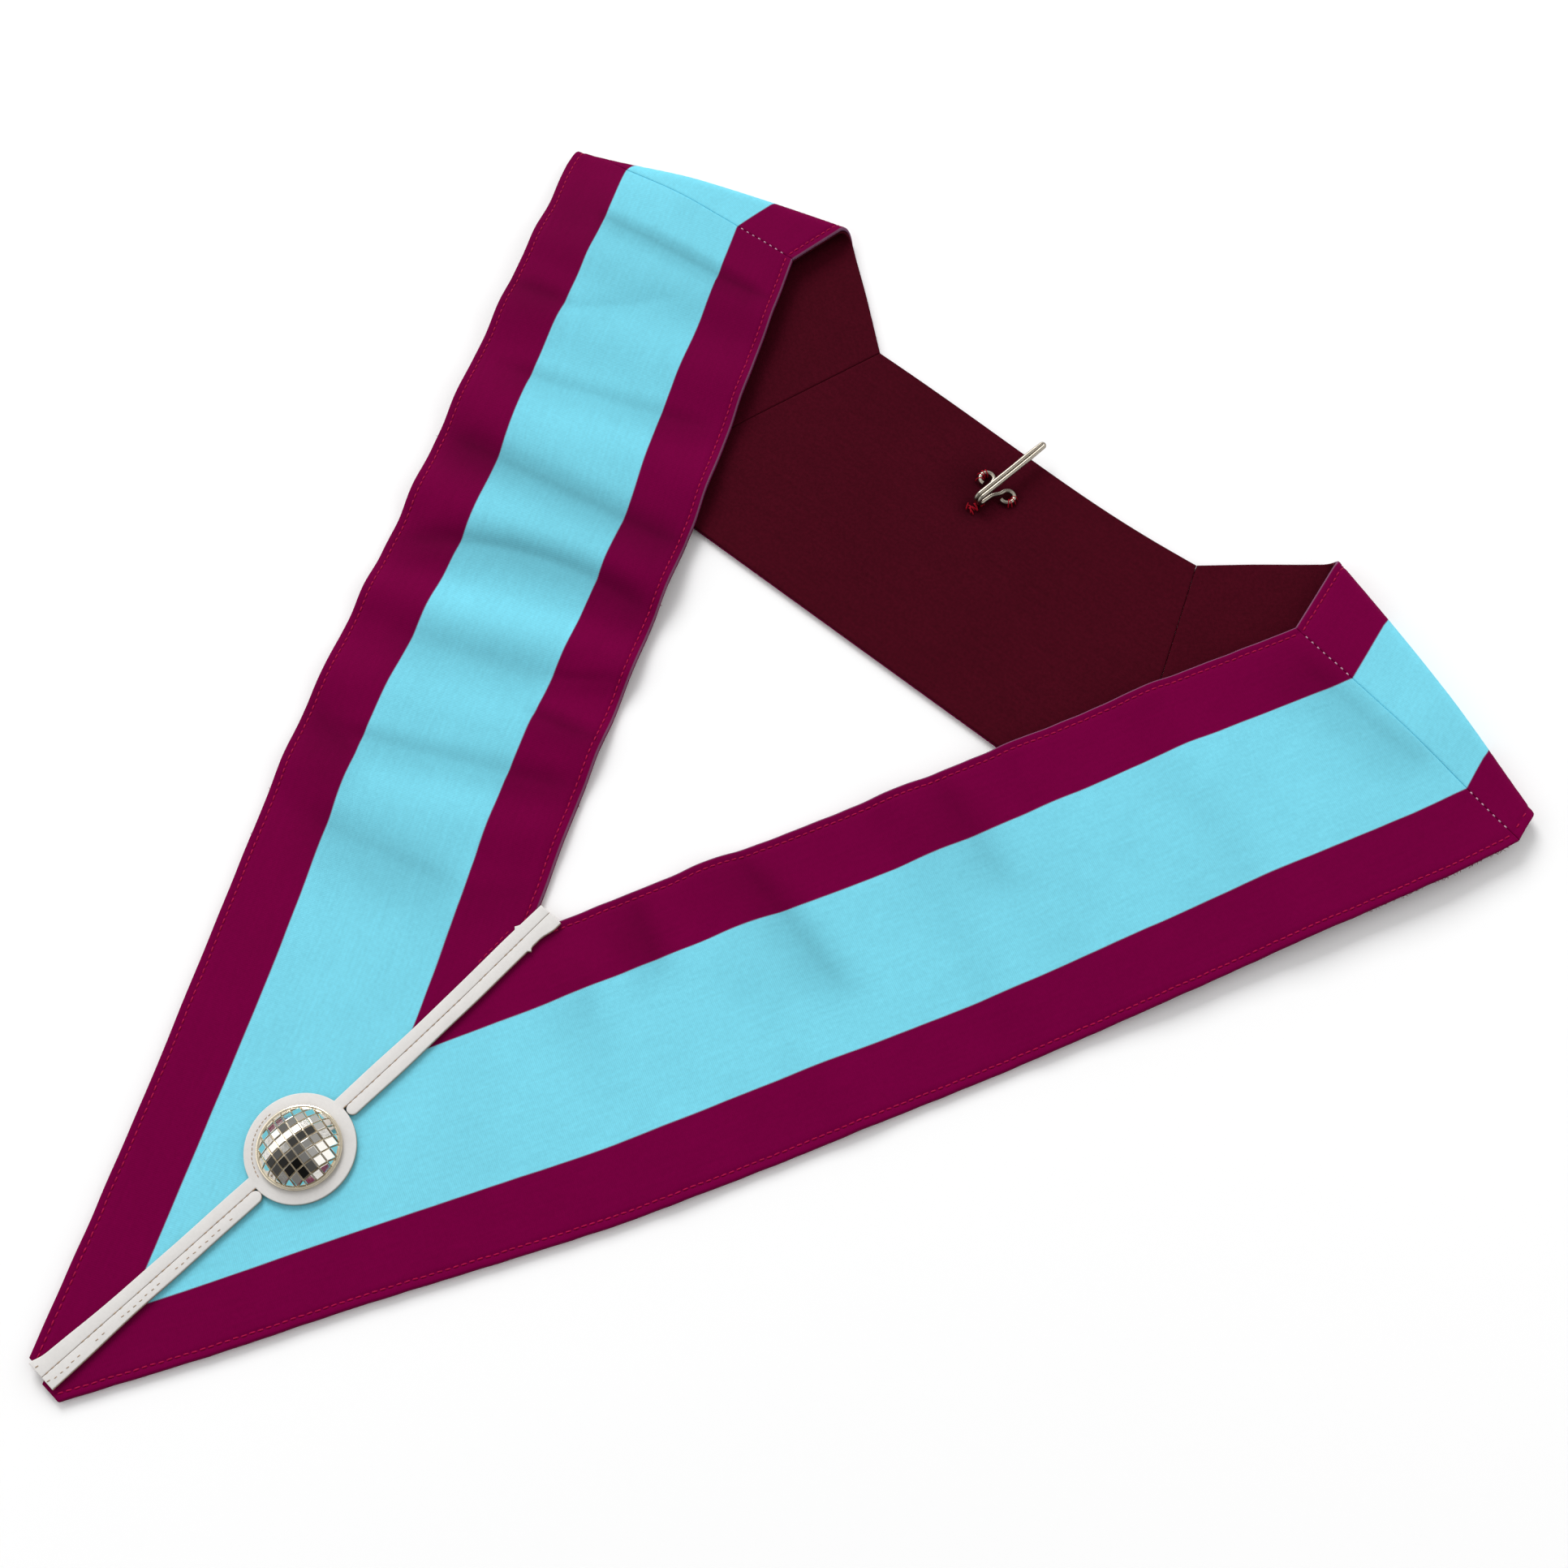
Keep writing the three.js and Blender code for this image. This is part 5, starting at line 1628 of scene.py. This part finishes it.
    def execute(self, context):
        trim = context.scene.collar_trim
        colours = context.scene.collar_colours
        lay = Lay()
        plate = lay.front_top + lay.cut.clearance + trim.strip_wall + lay.cut.clearance
        piece = self.rim(lay, trim, plate)
        dress(piece, metal_material("rim_metal", colours.rim, 0.22, 0.25), "button", "button")
        piece = self.checks(lay, trim, plate)
        silver = metal_material("polished_silver", colours.silver, 0.1, 0.1, toned=True)
        dress(piece, silver, "button", "button")
        piece.data.materials.append(metal_material("groove_tarnish", colours.tarnish, 0.3, 0.6))
        return {"FINISHED"}


def wire_piece(name, paths, radius, roundness):
    """Round wire along one or more lists of points"""
    piece = curve_lines(name, paths, False)
    piece.data.bevel_depth = radius
    piece.data.bevel_resolution = roundness
    piece.data.use_fill_caps = True
    make_mesh(piece)
    tidy_normals(piece, 50)
    return piece


class COLLAR_OT_hook(bpy.types.Operator):
    """Bends the wire hook and sews it to the back lining"""

    bl_idname = "collar.hook"
    bl_label = "Hook"

    def wire_sizes(self, lay, trim):
        """Radius and height of the wire on the lining, and radius and place of a sewing loop"""
        wire = trim.wire_width / 2
        low = lay.back_top + lay.cut.clearance + wire
        return wire, low, (trim.loop_width - trim.wire_width) / 2 + wire / 2, trim.loop_spread / 2

    def half_path(self, lay, trim):
        """One half of the wire: x along the bill, y across, z up"""
        wire, low, loop, loop_y = self.wire_sizes(lay, trim)
        bend = (trim.hook_opening + trim.wire_width) / 2
        high = low + 2 * bend
        pair = wire + 0.03 * MM
        points = []
        for i in range(25):
            angle = -trim.loop_sweep * (1 - i / 24)
            x = trim.loop_from_bend - loop * math.sin(angle)
            points.append((x, loop_y - loop * math.cos(angle), low))
        leave = points[-1]
        arrive = (trim.loop_from_bend / 2 + wire, pair + lay.half_gap, low)
        for i in range(1, 7):
            t = i / 6
            ease = t * t * (3 - 2 * t)
            x = leave[0] + (arrive[0] - leave[0]) * t
            points.append((x, leave[1] + (arrive[1] - leave[1]) * ease, low))
        for i in range(15):
            angle = math.pi * i / 14
            points.append((wire + bend - bend * math.sin(angle), pair, low + bend - bend * math.cos(angle)))
        points.append((trim.hook_length / 2, pair, high - lay.half_gap))
        points.append((trim.hook_length * 0.78, pair * 0.98, high))
        for i in range(9):
            angle = math.pi / 2 * i / 8
            squeeze = pair * 0.8
            x = trim.hook_length - wire - squeeze + squeeze * math.sin(angle)
            points.append((x, squeeze * math.cos(angle), high))
        return points

    def threads(self, lay, trim):
        """Loops of thread over the wire, at both loops and behind the bend"""
        dice = random.Random(12)
        wire, low, loop, spread = self.wire_sizes(lay, trim)
        spots = []
        for side in (-1, 1):
            for k in range(4):
                turn = math.radians(50 + dice.uniform(24, 32) * k) * side
                x = trim.loop_from_bend + loop * math.cos(turn)
                y = side * spread + loop * math.sin(turn)
                spots.append((x, y, turn))
        for k in range(6):
            spots.append((wire + 0.9 * MM + 0.25 * k * MM, dice.uniform(-0.4, 0.4) * MM, math.pi / 2))
        flat = len(spots)
        for _ in range(7):
            x = dice.uniform(-2.4, 0.6) * MM
            y = dice.uniform(-0.5, 2.4) * MM
            spots.append((x, y, dice.uniform(0.6, 1.5)))
        paths = []
        for index, (x, y, turn) in enumerate(spots):
            over = 2 * wire if index < flat else 0.35 * MM
            way = (math.cos(turn + dice.uniform(-0.3, 0.3)), math.sin(turn + dice.uniform(-0.3, 0.3)))
            reach = wire + 0.25 * MM
            wide = reach + dice.uniform(0.2, 0.6) * MM
            path = []
            for i in range(11):
                angle = math.pi * i / 10
                side_step = -wide * math.cos(angle)
                z = low - wire + (over + 0.25 * MM) * math.sin(angle) - 0.35 * MM
                path.append((x + way[0] * side_step, y + way[1] * side_step, z))
            paths.append(path)
        return paths

    def placed(self, lay, path):
        """Points of the hook's own frame as points of the frame"""
        bend, ahead, across = hook_frame(lay)
        plan = [bend + ahead * x + across * y for x, y, _ in path]
        return [(p[0] + lay.shift[0], p[1] + lay.shift[1], point[2]) for p, point in zip(plan, path)]

    def execute(self, context):
        trim = context.scene.collar_trim
        colours = context.scene.collar_colours
        lay = Lay()
        half = self.half_path(lay, trim)
        other = [(x, -y, z) for x, y, z in reversed(half[:-1])]
        piece = wire_piece("hook_wire", [self.placed(lay, half + other)], trim.wire_width / 2, 4)
        dress(piece, metal_material("hook_nickel", colours.wire, 0.3, 0.5), "hook", "hook")
        paths = [self.placed(lay, path) for path in self.threads(lay, trim)]
        piece = wire_piece("hook_threads", paths, 0.24 * MM, 2)
        dress(piece, thread_material("hook_thread", colours.hook_thread, 0.7), "hook")
        return {"FINISHED"}


class COLLAR_OT_frays(bpy.types.Operator):
    """Adds the few loose thread ends at the edges"""

    bl_idname = "collar.frays"
    bl_label = "Loose threads"

    def execute(self, context):
        colours = context.scene.collar_colours
        cut = context.scene.collar_cut
        lay = Lay()
        dice = random.Random(17)
        left, right = lay.sides
        spots = [(right, 1.0, dice.uniform(0.9, 1.09)) for _ in range(80)]
        spots += [(left, 0.0, place) for place in (0.17, 0.172, 0.45, 0.452, 0.455)]
        spots += [(left, 1.0, dice.uniform(-0.2, 0.9)) for _ in range(8)]
        spots += [(right, 0.0, dice.uniform(0.9, 0.99)) for _ in range(5)]
        paths = []
        for side, share, at in spots:
            share_at = np.array([share])
            root = side.arm_point(share_at, np.array([at * cut.arm_length]), lay.half_gap + 0.4 * MM)[0]
            out = side.arm_out * (1 if share > 0.5 else -1)
            out = Vector((out[0] * side.sign, out[1], 0))
            along = Vector((-out.y, out.x, 0)) * dice.uniform(-1.2, 1.2)
            reach = dice.uniform(0.4, 1.1) * MM
            drop = dice.uniform(0.2, 0.7) * MM
            path = []
            for i in range(6):
                t = i / 5
                step = out * (reach * t) + along * (reach * t * t) + Vector((0, 0, -drop * t * t))
                path.append(tuple(Vector(root) - out * 0.3 * MM + step))
            paths.append(path)
        piece = wire_piece("loose_threads", paths, 0.07 * MM, 1)
        dress(piece, thread_material("loose_thread", colours.border, 0.8), "ribbon")
        return {"FINISHED"}


LIGHTS = table(
    "name place size power",
    ("key_light", (-2.56, 1.49, 2.32), (1.8, 1.8), 90),
    ("left_light", (-0.95, -0.88, 0.75), (2.2, 1.4), 8),
    ("right_light", (0.95, 0.88, 0.75), (2.2, 1.4), 8),
)
FLOOR_SIZE = 30
# The sky's brightness changes evenly with direction round this level
SKY_LEVEL = 0.36
SKY_SLOPE = (-0.13, 0.14, 0.1)
# The photograph's place in millimetres of the cut's own plan, and its directions
VIEW_PLACE = (214.774, 148.998, 610.263)
VIEW_RIGHT = (0.73429, 0.6786, -0.01776)
VIEW_UP = (-0.616, 0.6771, 0.40259)
SENSOR_WIDTH = 36
LENS = 44.77


class COLLAR_OT_stage(bpy.types.Operator):
    """Sets the pale floor, the studio lights and the camera"""

    bl_idname = "collar.stage"
    bl_label = "Stage"

    def area_light(self, row):
        """Soft rectangular light that faces the collar"""
        data = bpy.data.lights.new(row["name"], "AREA")
        data.shape = "RECTANGLE"
        data.size, data.size_y = row["size"]
        data.energy = row["power"]
        light = place_object(row["name"], data)
        light.location = row["place"]
        light.rotation_euler = (-Vector(row["place"])).to_track_quat("-Z", "Y").to_euler()

    def sky(self, scene):
        """Pale surroundings, brighter on one side"""
        world = bpy.data.worlds.new("studio")
        world.use_nodes = True
        tree = world.node_tree
        background = tree.nodes["Background"]
        background.inputs["Color"].default_value = (1, 1, 1, 1)
        way = tree.nodes.new("ShaderNodeTexCoord")
        across = tree.nodes.new("ShaderNodeVectorMath")
        across.operation = "DOT_PRODUCT"
        across.inputs[1].default_value = SKY_SLOPE
        tree.links.new(way.outputs["Generated"], across.inputs[0])
        level = math_node(tree, "ADD", across.outputs["Value"], SKY_LEVEL)
        tree.links.new(level, background.inputs["Strength"])
        scene.world = world

    def camera(self, lay):
        """Camera at the photograph's place"""
        right = Vector(VIEW_RIGHT)
        back = right.cross(Vector(VIEW_UP)).normalized()
        up = back.cross(right).normalized()
        data = bpy.data.cameras.new("camera")
        data.sensor_fit = "HORIZONTAL"
        data.sensor_width = SENSOR_WIDTH
        data.lens = LENS
        data.clip_start = 0.01
        camera = place_object("camera", data)
        turn = Matrix((right.normalized(), up, back)).transposed().to_4x4()
        shift = Vector((lay.shift[0], lay.shift[1], 0))
        camera.matrix_world = Matrix.Translation(Vector(VIEW_PLACE) * MM + shift) @ turn
        bpy.context.scene.camera = camera

    def execute(self, context):
        bpy.ops.object.select_all(action="DESELECT")
        bpy.ops.mesh.primitive_plane_add(size=FLOOR_SIZE, location=(0, 0, 0))
        floor = bpy.context.active_object
        floor.name = "floor"
        floor.data.materials.append(floor_material())
        for row in LIGHTS:
            self.area_light(row)
        self.sky(context.scene)
        context.scene.view_settings.view_transform = "Standard"
        self.camera(Lay())
        return {"FINISHED"}


class COLLAR_PT_panel(bpy.types.Panel):
    """Sidebar panel of the collar"""

    bl_idname = "COLLAR_PT_panel"
    bl_label = "Ribbon collar"
    bl_space_type = "VIEW_3D"
    bl_region_type = "UI"
    bl_category = "Collar"

    def draw(self, context):
        layout = self.layout
        for step in STEPS:
            layout.operator(f"collar.{step}")
        for group in GROUPS:
            box = layout.box()
            values = getattr(context.scene, group)
            for name in values.bl_rna.properties.keys():
                if name not in {"rna_type", "name"}:
                    box.prop(values, name)


STEPS = ["stage", "ribbon", "lining", "stitching", "braid", "button", "hook", "frays"]
GROUPS = {
    "collar_cut": CollarCut,
    "collar_sewing": CollarSewing,
    "collar_trim": CollarTrim,
    "collar_colours": CollarColours,
}
CLASSES = [
    *GROUPS.values(),
    COLLAR_OT_ribbon,
    COLLAR_OT_lining,
    COLLAR_OT_stitching,
    COLLAR_OT_braid,
    COLLAR_OT_button,
    COLLAR_OT_hook,
    COLLAR_OT_frays,
    COLLAR_OT_stage,
    COLLAR_PT_panel,
]


def register():
    """Registers the classes and puts the settings on the scene"""
    for item in CLASSES:
        bpy.utils.register_class(item)
    for name, group in GROUPS.items():
        setattr(bpy.types.Scene, name, PointerProperty(type=group))


def unregister():
    """Takes the settings and classes away"""
    for name in GROUPS:
        delattr(bpy.types.Scene, name)
    for item in reversed(CLASSES):
        bpy.utils.unregister_class(item)


def main():
    """Builds every piece in order"""
    register()
    for step in STEPS:
        getattr(bpy.ops.collar, step)()


if __name__ == "__main__":
    main()
